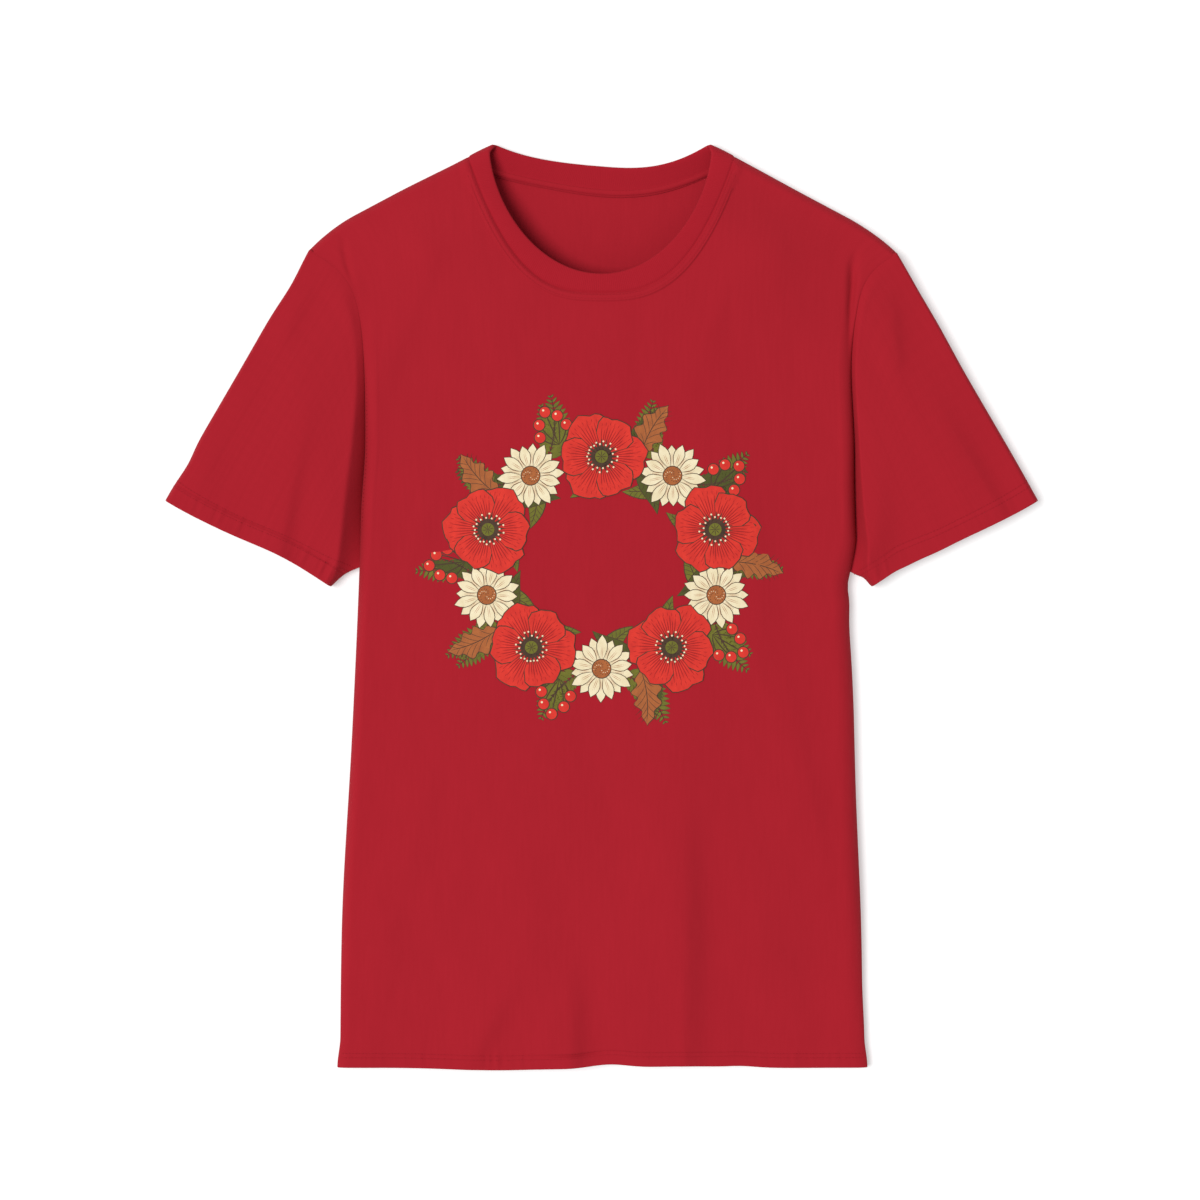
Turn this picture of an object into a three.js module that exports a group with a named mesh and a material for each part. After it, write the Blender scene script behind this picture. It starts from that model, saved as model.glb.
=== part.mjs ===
// A crew-neck T-shirt with short set-in sleeves, lying face up on its back with its sides softly rounded.
// Millimetres, +Z up, +Y from the hem towards the neck, the wearer's left at +X. The origin is the middle
// of the footprint, on the surface that the shirt lies on.
import * as THREE from 'three';
import { LoftGeometry } from 'three/addons/geometries/LoftGeometry.js';

// Driving dimensions.
const BODY_LENGTH = 730;
const HEM_HALF_WIDTH = 209;
const NECK_HALF_WIDTH = 105.5;
const FRONT_NECK_DROP = 108.2;
const BACK_NECK_DROP = 24.9;
const NECKBAND_WIDTH = 17.5;
const FREE_EDGE_HALF_WIDTH = 88;
const FREE_EDGE_FRONT_DROP = 104.3;
const FREE_EDGE_BACK_DROP = 19;

// How square the two necklines are: 2 is a parabola, and more is flatter at the middle.
const FRONT_NECK_POWER = 2.9;
const BACK_NECK_POWER = 2.3;
const FREE_EDGE_POWER = 1.12;

// Heights of the lying shirt.
const CROWN = 27;
const HEM_LIFT = 14;
const SHOULDER_LIFT = 14;
const SLEEVE_LIFT = 18;
const CUFF_LIFT = 14;
const SIDE_SEAM_HEIGHT = 8;
const SHOULDER_SEAM_HEIGHT = 6.5;
const CREASE_HEIGHT = 9;
const FREE_EDGE_RISE = 1;
const BACK_BAND_TILT = 2;

// Radii of the soft folds, measured across them in plan.
const SIDE_FOLD = 14;
const SHOULDER_FOLD = 7;
const UNDERARM_FOLD = 9;
const CREASE_SLOPE = 22;
const SHOULDER_SLOPE = 70;
const HEM_SLOPE = 170;

// Cloth, trims and thread.
const CLOTH = 1;
const BAND_THICKNESS = 2;
const TAPE_WIDTH = 7;
const TAPE_THICKNESS = 0.7;
const TAPE_HALF_LENGTH = 93;
const TAPE_OFFSET = 2;
const THREAD_RADIUS = 0.4;
const BODY_HEM = 10.7;
const SLEEVE_HEM = 14.2;
const TOPSTITCH_OFFSET = 3.6;
const TOPSTITCH_HALF_WIDTH = 1.6;
const TOPSTITCH_THICKNESS = 0.3;
const GAP = 0.4;

const HEM_Y = -BODY_LENGTH / 2;
const COLLAR_Y = BODY_LENGTH / 2;

// Outline of the wearer's left half, seen from above. The other half is its mirror image.
const NECK_POINT = new THREE.Vector2(NECK_HALF_WIDTH, COLLAR_Y - 10.3);
const SHOULDER_END = new THREE.Vector2(232, 278.8);
const UNDERARM = new THREE.Vector2(190.8, 30.8);
const SIDE = [
  new THREE.Vector2(HEM_HALF_WIDTH, HEM_Y),
  new THREE.Vector2(205, -240),
  new THREE.Vector2(197.5, -105),
  UNDERARM,
  new THREE.Vector2(190, 115),
  new THREE.Vector2(190.5, 190),
  new THREE.Vector2(196, 236),
  new THREE.Vector2(209.5, 262),
  SHOULDER_END,
];
const SLEEVE_TOP = [
  SHOULDER_END,
  new THREE.Vector2(274.5, 206),
  new THREE.Vector2(314, 138),
  new THREE.Vector2(344.9, 85.3),
];
const SLEEVE_UNDER = [
  UNDERARM,
  new THREE.Vector2(203, 24.5),
  new THREE.Vector2(213.7, 15),
];
const CUFF = [
  new THREE.Vector2(344.9, 85.3),
  new THREE.Vector2(300, 60),
  new THREE.Vector2(252, 38.5),
  new THREE.Vector2(213.7, 15),
];
const side = new THREE.SplineCurve(SIDE);
const sleeveTop = new THREE.SplineCurve(SLEEVE_TOP);
const sleeveUnder = new THREE.SplineCurve(SLEEVE_UNDER);
const cuff = new THREE.SplineCurve(CUFF);
const UNDERARM_ON_SIDE = SIDE.indexOf(UNDERARM) / (SIDE.length - 1);

// The shoulder line is straight as far as SHOULDER_BEND_X, and then bends down as a parabola to its end.
const SHOULDER_SLANT = 0.532;
const SHOULDER_BEND_X = 195;
const SHOULDER_NORMAL = new THREE.Vector2(SHOULDER_SLANT, 1).normalize();
const straightEnd = NECK_POINT.y - SHOULDER_SLANT * (SHOULDER_END.x - NECK_POINT.x);
const SHOULDER_BEND = (straightEnd - SHOULDER_END.y) / (SHOULDER_END.x - SHOULDER_BEND_X) ** 2;

const jersey = new THREE.MeshStandardMaterial({ color: 0xaa222e, roughness: 0.92, metalness: 0 });
const rib = new THREE.MeshStandardMaterial({ color: 0xa6202c, roughness: 0.94, metalness: 0 });
const thread = new THREE.MeshStandardMaterial({ color: 0xb02433, roughness: 0.6, metalness: 0 });

const shirt = new THREE.Group();

function addPiece(name, geometry, material) {
  const mesh = new THREE.Mesh(geometry, material);
  mesh.name = name;
  shirt.add(mesh);
}

const mix = THREE.MathUtils.lerp;

function ease(distance, reach) {
  return THREE.MathUtils.smoothstep(distance, 0, reach);
}

// Height of a soft fold over its seam, 0 at the seam and 1 from one radius inwards: a quarter ellipse.
function roll(distance, radius) {
  const rest = 1 - Math.min(Math.max(distance / radius, 0), 1);
  return Math.sqrt(1 - rest * rest);
}

function shoulderLine(x) {
  const bend = SHOULDER_BEND * Math.max(x - SHOULDER_BEND_X, 0) ** 2;
  return NECK_POINT.y - SHOULDER_SLANT * (x - NECK_POINT.x) - bend;
}

function fromShoulder(x, y) {
  return (shoulderLine(Math.abs(x)) - y) * SHOULDER_NORMAL.y;
}

// The top edge of a body panel: the shoulder line, and the neckline between the two neck points.
function topEdge(x, drop, power) {
  const across = Math.abs(x);
  if (across < NECK_HALF_WIDTH) {
    return NECK_POINT.y - drop * (1 - (across / NECK_HALF_WIDTH) ** power);
  }
  return shoulderLine(across);
}

const frontTop = (x) => topEdge(x, FRONT_NECK_DROP, FRONT_NECK_POWER);
const backTop = (x) => topEdge(x, BACK_NECK_DROP, BACK_NECK_POWER);

// Height of the front above the surface, away from its folds.
function frontCrest(x, y) {
  const body = mix(HEM_LIFT, CROWN, ease(y - HEM_Y, HEM_SLOPE));
  return mix(SHOULDER_LIFT, body, ease(fromShoulder(x, y), SHOULDER_SLOPE));
}

// Height of the front's side edge: the side seam, then the crease where the sleeve is set in, which fades
// out towards the shoulder.
function frontEdgeHeight(edge) {
  if (edge.y < UNDERARM.y) {
    return SIDE_SEAM_HEIGHT;
  }
  const up = (edge.y - UNDERARM.y) / (SHOULDER_END.y - UNDERARM.y);
  const crease = mix(SIDE_SEAM_HEIGHT, CREASE_HEIGHT, ease(up, 0.3));
  return mix(crease, SHOULDER_LIFT, ease(up - 0.4, 0.6));
}

// Height of the back's side edge: the side seam, then flat under the sleeve.
function backEdgeHeight(edge) {
  return SIDE_SEAM_HEIGHT * (1 - roll(edge.y - UNDERARM.y, UNDERARM_FOLD));
}

// A point of a body panel in plan: across runs from -1 to 1 between the side edges, and up from 0 at the
// hem to 1 at the panel's top edge. Columns follow the waist of the side edges with the cube of across, so
// that they run straight down from the neckline.
function bodyPlan(across, up, top) {
  const edge = side.getPoint(up);
  const share = (edge.y - HEM_Y) / (SHOULDER_END.y - HEM_Y);
  const x = across * SHOULDER_END.x - across ** 3 * (SHOULDER_END.x - edge.x);
  const y = mix(HEM_Y, top(across * SHOULDER_END.x), share);
  return { x, y, edge, inward: edge.x - Math.abs(x) };
}

function frontPoint(across, up) {
  const { x, y, edge, inward } = bodyPlan(across, up, frontTop);
  const seam = frontEdgeHeight(edge);
  const height = seam + (frontCrest(x, y) - seam) * roll(inward, SIDE_FOLD);
  const overShoulder = roll(fromShoulder(x, y), SHOULDER_FOLD);
  return new THREE.Vector3(x, y, mix(SHOULDER_SEAM_HEIGHT, height, overShoulder));
}

function backPoint(across, up) {
  const { x, y, edge, inward } = bodyPlan(across, up, backTop);
  const atSide = backEdgeHeight(edge) * (1 - roll(inward, SIDE_FOLD));
  const atShoulder = SHOULDER_SEAM_HEIGHT * (1 - roll(fromShoulder(x, y), SHOULDER_FOLD));
  return new THREE.Vector3(x, y, Math.max(atSide, atShoulder));
}

// The upward normal of a surface given as a function of two parameters.
function surfaceNormal(surface, a, b) {
  const step = 1e-4;
  const alongA = surface(a + step, b).sub(surface(a - step, b));
  const alongB = surface(a, b + step).sub(surface(a, b - step));
  return alongA.cross(alongB).normalize();
}

// A cloth piece with four sides: a box whose grid is laid on a surface, between two depths along its normal.
function clothPlate(surface, columns, rows, lower, upper) {
  const geometry = new THREE.BoxGeometry(2, 1, 1, columns, rows, 1);
  const position = geometry.attributes.position;
  for (let i = 0; i < position.count; i += 1) {
    const a = position.getX(i);
    const b = position.getY(i) + 0.5;
    const depth = position.getZ(i) > 0 ? upper : lower;
    const inside = 1 - 1e-3;
    const normal = surfaceNormal(surface, a * inside, 0.5 + (b - 0.5) * inside);
    const point = surface(a, b).addScaledVector(normal, depth);
    position.setXYZ(i, point.x, point.y, point.z);
  }
  return geometry;
}

// The body panels' columns, from -1 to 1: one for each step of the neckband round the neckline, and closer
// together towards the side folds.
const NECK_STEPS = 22;
const SHOULDER_STEPS = 6;
const ROW_CROWDING = 1.8;
const NECK_SHARE = NECK_HALF_WIDTH / SHOULDER_END.x;
const shoulderColumns = spread(SHOULDER_STEPS + 1, 0, Math.PI / 2).map((angle) => (
  mix(NECK_SHARE, 1, Math.sin(angle))
));
const neckColumns = spread(NECK_STEPS + 1, Math.PI, 0).map((angle) => NECK_SHARE * Math.cos(angle));
const COLUMNS = [
  ...shoulderColumns.slice(1).reverse().map((across) => -across),
  ...neckColumns,
  ...shoulderColumns.slice(1),
];

// A body panel on its grid, with the gap kept all round: rows lie closer together towards the shoulders.
function panelSurface(point, seamGap) {
  const last = COLUMNS.length - 1;
  return (a, b) => {
    const place = ((a + 1) / 2) * last;
    const column = Math.min(Math.floor(place), last - 1);
    const across = mix(COLUMNS[column], COLUMNS[column + 1], place - column);
    const up = 1 - (1 - b) ** ROW_CROWDING;
    const placed = point(across, up * (1 - GAP / BODY_LENGTH));
    placed.x *= 1 - GAP / HEM_HALF_WIDTH;
    placed.z += seamGap;
    return placed;
  };
}

// The sleeve as a closed tube: turn runs round it from 0 at the top fold through the under layer to PI at
// the underarm fold and back over the upper layer, and out runs from 0 at the armhole to 1 at the cuff.
function sleevePlan(down, out) {
  const armhole = side.getPoint(mix(1, UNDERARM_ON_SIDE, down));
  const cuffPoint = cuff.getPoint(down);
  const topFold = sleeveTop.getPoint(out);
  const underFold = sleeveUnder.getPoint(out);
  const between = armhole.clone().lerp(cuffPoint, out);
  const folds = topFold.clone().lerp(underFold, down);
  const startLine = SHOULDER_END.clone().lerp(UNDERARM, down);
  const endLine = CUFF[0].clone().lerp(CUFF[CUFF.length - 1], down);
  const corners = startLine.lerp(endLine, out);
  return {
    plan: between.add(folds).sub(corners),
    armhole,
    width: topFold.distanceTo(underFold),
  };
}

function sleevePoint(turn, out) {
  const down = (1 - Math.cos(turn)) / 2;
  const { plan, armhole, width } = sleevePlan(down, out);
  const folds = roll(down * width, SHOULDER_FOLD) * roll((1 - down) * width, UNDERARM_FOLD);
  const seam = mix(SHOULDER_SEAM_HEIGHT, SIDE_SEAM_HEIGHT, down);
  if (Math.sin(turn) > 0) {
    return new THREE.Vector3(plan.x, plan.y, seam * (1 - folds));
  }
  const lift = mix(SHOULDER_LIFT, SLEEVE_LIFT, ease(down, 0.4));
  const crest = mix(lift, CUFF_LIFT, ease(out - 0.4, 0.6));
  const outward = plan.distanceTo(armhole);
  const height = mix(frontEdgeHeight(armhole), crest, ease(outward, CREASE_SLOPE));
  return new THREE.Vector3(plan.x, plan.y, seam + (height - seam) * folds);
}

// The wall of a cloth tube, lofted round it: each section is the wall's strip from one end to the other,
// and firstGap is the share of its length left free at the first end.
function clothTube(surface, turns, rows, thickness, firstGap) {
  const sections = [];
  for (let i = 0; i <= turns; i += 1) {
    const turn = ((i % turns) * 2 * Math.PI) / turns;
    const outer = [];
    const inner = [];
    for (let j = 0; j <= rows; j += 1) {
      const out = mix(firstGap, 1, j / rows);
      const normal = surfaceNormal(surface, turn, out);
      const point = surface(turn, out);
      outer.push(point.clone());
      inner.push(point.addScaledVector(normal, thickness));
    }
    sections.push([...outer, ...inner.reverse()]);
  }
  return new LoftGeometry(sections);
}

function spread(count, from, to) {
  return Array.from({ length: count }, (_, i) => mix(from, to, i / (count - 1)));
}

// The same piece for the wearer's other side, with its triangles turned to face out again.
function mirrored(geometry) {
  const copy = new THREE.BufferGeometry().copy(geometry).scale(-1, 1, 1);
  const index = copy.index.array;
  for (let i = 0; i < index.length; i += 3) {
    [index[i], index[i + 1]] = [index[i + 1], index[i]];
  }
  return copy;
}

// The neckband's free edge and seam edge, as the angle runs once round the neck: 0 at the wearer's left
// shoulder, PI / 2 at the front.
function freeEdge(angle) {
  const rise = Math.sin(angle);
  const drop = rise > 0 ? FREE_EDGE_FRONT_DROP * rise ** FREE_EDGE_POWER : FREE_EDGE_BACK_DROP * rise * rise;
  const front = frontCrest(0, frontTop(0)) + FREE_EDGE_RISE;
  const shoulderTurn = 0.12;
  const over = 0.5 + (0.5 * rise) / Math.hypot(rise, shoulderTurn);
  const height = mix(BACK_BAND_TILT, front, over);
  return new THREE.Vector3(FREE_EDGE_HALF_WIDTH * Math.cos(angle), COLLAR_Y - drop, height);
}

// A point of the body cloth near the neck, on the front or on the back.
function nearNeck(x, y, onFront) {
  const over = roll(fromShoulder(x, y), SHOULDER_FOLD);
  return new THREE.Vector3(x, y, mix(SHOULDER_SEAM_HEIGHT, onFront ? frontCrest(x, y) : 0, over));
}

function seamEdge(angle) {
  const onFront = Math.sin(angle) > 0;
  const x = NECK_HALF_WIDTH * Math.cos(angle);
  return nearNeck(x, onFront ? frontTop(x) : backTop(x), onFront);
}

// A point of the body cloth at a distance from the neckband's seam.
function besideSeam(angle, distance) {
  const step = 0.01;
  const onFront = Math.sin(angle) > 0;
  const along = seamEdge(angle + step).sub(seamEdge(angle - step)).setZ(0).normalize();
  const away = onFront ? distance : -distance;
  const seam = seamEdge(angle);
  return nearNeck(seam.x - along.y * away, seam.y + along.x * away, onFront);
}

function neckbandPoint(angle, across) {
  const seam = seamEdge(angle);
  const free = freeEdge(angle);
  return seam.lerp(free, mix(GAP / NECKBAND_WIDTH, 1, across));
}

// A thread row along a path: a thin round tube, closed on itself or capped at both ends. Its steps are
// shared out evenly between the path's points, so that a tight turn gets as many as a long run.
function threadRow(points, steps, closed) {
  const path = new THREE.CatmullRomCurve3(points, closed, 'centripetal');
  path.getUtoTmapping = (share) => share;
  const frames = path.computeFrenetFrames(steps, closed);
  const sides = 5;
  const sections = [];
  for (let i = 0; i <= steps; i += 1) {
    const k = closed ? i % steps : i;
    const centre = path.getPointAt(k / steps);
    const section = [];
    for (let j = 0; j < sides; j += 1) {
      const angle = (j * 2 * Math.PI) / sides;
      const spoke = frames.normals[k].clone().multiplyScalar(Math.cos(angle) * THREAD_RADIUS);
      spoke.addScaledVector(frames.binormals[k], Math.sin(angle) * THREAD_RADIUS);
      section.push(spoke.add(centre));
    }
    sections.push(section);
  }
  return new LoftGeometry(sections, { capStart: !closed, capEnd: !closed });
}

// Threads lie inside the shirt, clear of the cloth; the ones along a fold clear those that cross it.
const UNDER_CLOTH = CLOTH + GAP + THREAD_RADIUS;
const INSIDE_FOLD = 3;
const NECK_FOLD_ANGLE = 0.33;

function ringAngles(count) {
  return Array.from({ length: count }, (_, i) => (i * 2 * Math.PI) / count);
}

function addBody() {
  const columns = COLUMNS.length - 1;
  const rows = 17;
  const front = panelSurface(frontPoint, GAP);
  const back = panelSurface(backPoint, 0);
  addPiece('front_panel', clothPlate(front, columns, rows, -CLOTH, 0), jersey);
  addPiece('back_panel', clothPlate(back, columns, rows, 0, CLOTH), jersey);
}

function addSleeves() {
  const seamGap = (2 * GAP) / SHOULDER_END.distanceTo(CUFF[0]);
  const sleeve = clothTube(sleevePoint, 30, 9, CLOTH, seamGap);
  addPiece('left_sleeve', sleeve, jersey);
  addPiece('right_sleeve', mirrored(sleeve), jersey);
}

// The tape's middle part is flat on the back panel: along runs from -1 to 1 and across from its lower edge.
function tapePoint(along, across) {
  const x = along * TAPE_HALF_LENGTH;
  const below = TAPE_WIDTH * (1 - across) + TAPE_OFFSET;
  return new THREE.Vector3(x, backTop(x) - below, CLOTH + GAP);
}

// The twin row round the front neckline, as one flat strip on the cloth.
function topstitchPoint(along, across) {
  const angle = Math.PI / 2 - along * (Math.PI / 2 - NECK_FOLD_ANGLE);
  const distance = TOPSTITCH_OFFSET + (1 - 2 * across) * TOPSTITCH_HALF_WIDTH;
  const point = besideSeam(angle, distance);
  point.z += 1.5 * GAP;
  return point;
}

// The overlock row under the neckband's seam, with a turn inside each shoulder fold.
function neckSeamPoints() {
  const onFront = spread(13, NECK_FOLD_ANGLE, Math.PI - NECK_FOLD_ANGLE).map((angle) => {
    const point = besideSeam(angle, 2);
    point.z -= UNDER_CLOTH + GAP;
    return point;
  });
  const backStart = 1.5 * NECK_FOLD_ANGLE;
  const onBack = spread(11, Math.PI + backStart, 2 * Math.PI - backStart).map((angle) => {
    const point = besideSeam(angle, 1);
    point.z += UNDER_CLOTH + GAP;
    return point;
  });
  const turn = NECK_POINT.clone().addScaledVector(SHOULDER_NORMAL, -2 * INSIDE_FOLD);
  const turnAt = (sign) => new THREE.Vector3(sign * turn.x, turn.y, SHOULDER_SEAM_HEIGHT);
  return [...onFront, turnAt(-1), ...onBack, turnAt(1)];
}

function addNeck() {
  addPiece('neckband', clothTube(neckbandPoint, 2 * NECK_STEPS, 3, BAND_THICKNESS, 0), rib);
  addPiece('neck_tape', clothPlate(tapePoint, 20, 1, 0, TAPE_THICKNESS), jersey);
  const strip = clothPlate(topstitchPoint, 32, 1, 0, TOPSTITCH_THICKNESS);
  addPiece('neckline_topstitching', strip, thread);
  addPiece('neckband_seam_thread', threadRow(neckSeamPoints(), 72, true), thread);
  const onTape = spread(9, -0.97, 0.97).map((along) => {
    const point = tapePoint(along, 0.2);
    point.z += TAPE_THICKNESS + GAP + THREAD_RADIUS;
    return point;
  });
  addPiece('neck_tape_stitching', threadRow(onTape, 20, false), thread);
}

// A row on the front and a row on the back, joined round the side folds.
function bodyHemPoints() {
  const y = HEM_Y + BODY_HEM;
  const reach = HEM_HALF_WIDTH - UNDER_CLOTH - GAP;
  const top = HEM_LIFT - UNDER_CLOTH;
  return ringAngles(28).map((angle) => {
    const x = reach * Math.cos(angle);
    const folds = roll(reach - Math.abs(x), SIDE_FOLD);
    const end = angle > Math.PI ? UNDER_CLOTH + GAP : top;
    return new THREE.Vector3(x, y, mix(SIDE_SEAM_HEIGHT, end, folds));
  });
}

function sleeveHemPoints() {
  const out = 1 - SLEEVE_HEM / sleeveTop.getLength();
  return ringAngles(24).map((turn) => {
    const normal = surfaceNormal(sleevePoint, turn, out);
    return sleevePoint(turn, out).addScaledVector(normal, UNDER_CLOTH);
  });
}

// An upper row under the front's edge and a lower row over the back's edge, joined by a turn at each end.
// Beside the edge a panel's x grows by 3 edge.x - 2 SHOULDER_END.x for each whole step of across.
function armholePoints() {
  const low = UNDERARM_ON_SIDE + 0.02;
  const high = 0.95;
  const turn = 0.008;
  const at = (k, height) => {
    const edge = side.getPoint(k);
    return new THREE.Vector3(edge.x - INSIDE_FOLD, edge.y, height(edge, k));
  };
  const above = (edge) => Math.min(frontEdgeHeight(edge), SHOULDER_LIFT - 3) - UNDER_CLOTH;
  const acrossInside = (edge) => 1 - INSIDE_FOLD / (3 * edge.x - 2 * SHOULDER_END.x);
  const below = (edge, k) => backPoint(acrossInside(edge), k).z + UNDER_CLOTH + 2 * GAP;
  const halfway = (edge, k) => (above(edge) + below(edge, k)) / 2;
  const stops = spread(9, low, high);
  return [
    ...stops.map((k) => at(k, above)),
    at(high + turn, halfway),
    ...stops.reverse().map((k) => at(k, below)),
    at(low - turn, halfway),
  ];
}

function sideSeamPoints() {
  return spread(12, 0.004, UNDERARM_ON_SIDE - 0.01).map((k) => {
    const edge = side.getPoint(k);
    return new THREE.Vector3(edge.x - INSIDE_FOLD, edge.y, SIDE_SEAM_HEIGHT);
  });
}

function underarmPoints() {
  return spread(5, 0.2, 0.97).map((k) => {
    const edge = sleeveUnder.getPoint(k);
    const inward = new THREE.Vector2(-sleeveUnder.getTangent(k).y, sleeveUnder.getTangent(k).x);
    edge.addScaledVector(inward, INSIDE_FOLD);
    return new THREE.Vector3(edge.x, edge.y, SIDE_SEAM_HEIGHT);
  });
}

function shoulderPoints() {
  return spread(9, 0.1, 0.95).map((k) => {
    const x = mix(NECK_POINT.x, SHOULDER_END.x, k);
    const edge = new THREE.Vector2(x, shoulderLine(x)).addScaledVector(SHOULDER_NORMAL, -INSIDE_FOLD);
    return new THREE.Vector3(edge.x, edge.y, SHOULDER_SEAM_HEIGHT);
  });
}

function addSeams() {
  const pairs = {
    shoulder_seam_thread: threadRow(shoulderPoints(), 16, false),
    armhole_seam_thread: threadRow(armholePoints(), 44, true),
    side_seam_thread: threadRow(sideSeamPoints(), 20, false),
    underarm_seam_thread: threadRow(underarmPoints(), 6, false),
    sleeve_hem_stitching: threadRow(sleeveHemPoints(), 44, true),
  };
  for (const [name, row] of Object.entries(pairs)) {
    addPiece(`left_${name}`, row, thread);
    addPiece(`right_${name}`, mirrored(row), thread);
  }
  addPiece('body_hem_stitching', threadRow(bodyHemPoints(), 64, true), thread);
}

addBody();
addSleeves();
addNeck();
addSeams();

export default shirt;
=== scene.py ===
import bmesh
import bpy
import numpy as np
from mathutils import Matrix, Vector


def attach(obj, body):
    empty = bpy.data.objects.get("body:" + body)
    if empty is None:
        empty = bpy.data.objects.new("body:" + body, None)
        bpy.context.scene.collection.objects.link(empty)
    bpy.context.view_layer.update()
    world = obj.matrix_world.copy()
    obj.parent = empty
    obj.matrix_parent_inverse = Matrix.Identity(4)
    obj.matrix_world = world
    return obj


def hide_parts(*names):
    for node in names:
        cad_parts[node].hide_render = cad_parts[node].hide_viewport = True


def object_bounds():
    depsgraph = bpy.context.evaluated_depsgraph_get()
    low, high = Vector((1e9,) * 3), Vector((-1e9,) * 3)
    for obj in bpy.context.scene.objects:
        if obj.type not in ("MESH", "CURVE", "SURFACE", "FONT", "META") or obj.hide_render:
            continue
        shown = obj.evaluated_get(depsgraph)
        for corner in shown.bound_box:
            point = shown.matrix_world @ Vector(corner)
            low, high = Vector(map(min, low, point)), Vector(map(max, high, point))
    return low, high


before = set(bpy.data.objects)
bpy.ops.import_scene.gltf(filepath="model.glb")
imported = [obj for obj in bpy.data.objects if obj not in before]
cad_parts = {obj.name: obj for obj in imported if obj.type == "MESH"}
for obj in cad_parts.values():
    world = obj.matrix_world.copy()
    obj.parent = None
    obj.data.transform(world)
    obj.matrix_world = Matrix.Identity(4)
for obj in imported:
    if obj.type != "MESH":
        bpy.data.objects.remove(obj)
cad_low, cad_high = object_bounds()

# ---------------------------------------------------------------------------------------------------
# The table, the light and the camera. The shirt lies on a plain white table and is seen from
# straight above through a long lens. One large soft light stands high at its left, and a pale room
# fills in.
VIEW_WIDTH = 0.9462
VIEW_CENTRE = (-0.0012, 0.0041)
VIEW_DISTANCE = 3.6
SURFACE_LEVEL = 0.02
SENSOR = 36.0
LIGHT_POWER, LIGHT_SPREAD, LIGHT_TILT = 2.74, np.radians(30), np.radians(-25)
WHITE = (1.0, 1.0, 1.0, 1.0)
ROOM_LIGHT = 0.46
TABLE_GREY, TABLE_ROUGHNESS, TABLE_GLOW = (0.58, 0.58, 0.58, 1.0), 0.8, 0.40
TABLE_HALF_WIDTH = 4.5


def add_object(name, data):
    """Puts a camera, a light or a mesh into the scene, as an object at the origin."""
    thing = bpy.data.objects.new(name, data)
    bpy.context.scene.collection.objects.link(thing)
    return thing


camera_data = bpy.data.cameras.new("camera")
camera_data.sensor_width = SENSOR
camera_data.lens = SENSOR * (VIEW_DISTANCE - SURFACE_LEVEL) / VIEW_WIDTH
camera = add_object("camera", camera_data)
camera.location = (*VIEW_CENTRE, VIEW_DISTANCE)
bpy.context.scene.camera = camera

key_data = bpy.data.lights.new("key_light", "SUN")
key_data.energy = LIGHT_POWER
key_data.angle = LIGHT_SPREAD
add_object("key_light", key_data).rotation_euler = (0, LIGHT_TILT, 0)

room = bpy.data.worlds.new("pale_room")
room.use_nodes = True
room.node_tree.nodes["Background"].inputs["Color"].default_value = WHITE
room.node_tree.nodes["Background"].inputs["Strength"].default_value = ROOM_LIGHT
bpy.context.scene.world = room
bpy.context.scene.view_settings.view_transform = "Standard"

table_paint = bpy.data.materials.new("table_paint")
table_paint.use_nodes = True
paint = table_paint.node_tree.nodes["Principled BSDF"].inputs
paint["Base Color"].default_value = TABLE_GREY
paint["Roughness"].default_value = TABLE_ROUGHNESS
paint["Emission Color"].default_value = WHITE
paint["Emission Strength"].default_value = TABLE_GLOW

table_mesh = bpy.data.meshes.new("table")
table_corners = TABLE_HALF_WIDTH * np.array([(-1, -1, 0), (1, -1, 0), (1, 1, 0), (-1, 1, 0)])
table_mesh.from_pydata(table_corners.tolist(), [], [(0, 1, 2, 3)])
table_mesh.materials.append(table_paint)
table = add_object("table", table_mesh)


# ---------------------------------------------------------------------------------------------------
# Front panel. One piece of single jersey with a deep round neckline and two armholes. Its hem is
# turned under once and sewn with two needles, and its edges roll softly down to the seams.
HEM_Y = cad_low.y
COLLAR_Y = cad_high.y
HEM_HALF_WIDTH = 0.2068
HEM_FLARE, HEM_FLARE_HEIGHT, HEM_WAVE_HEIGHT = 0.0022, 0.024, 0.06
NECK_HALF_WIDTH = 0.1055
NECK_POINT = np.array([NECK_HALF_WIDTH, COLLAR_Y - 0.0103])
SHOULDER_END = np.array([0.232, 0.2788])
SHOULDER_SLANT, SHOULDER_BEND_X = 0.532, 0.195
UNDERARM = np.array([0.1915, 0.0300])
FRONT_NECK_DROP, FRONT_NECK_POWER = 0.1082, 2.9
SIDE = np.array([
    (HEM_HALF_WIDTH, HEM_Y), (0.205, -0.24), (0.1975, -0.105), UNDERARM,
    (0.1900, 0.115), (0.1905, 0.190), (0.1960, 0.236), (0.2095, 0.262), SHOULDER_END,
])
UNDERARM_SHARE = 3 / 8
SHOULDER_NORMAL = np.array([SHOULDER_SLANT, 1.0]) / np.hypot(SHOULDER_SLANT, 1.0)
STRAIGHT_END = NECK_POINT[1] - SHOULDER_SLANT * (SHOULDER_END[0] - NECK_POINT[0])
SHOULDER_BEND = (STRAIGHT_END - SHOULDER_END[1]) / (SHOULDER_END[0] - SHOULDER_BEND_X) ** 2

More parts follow.
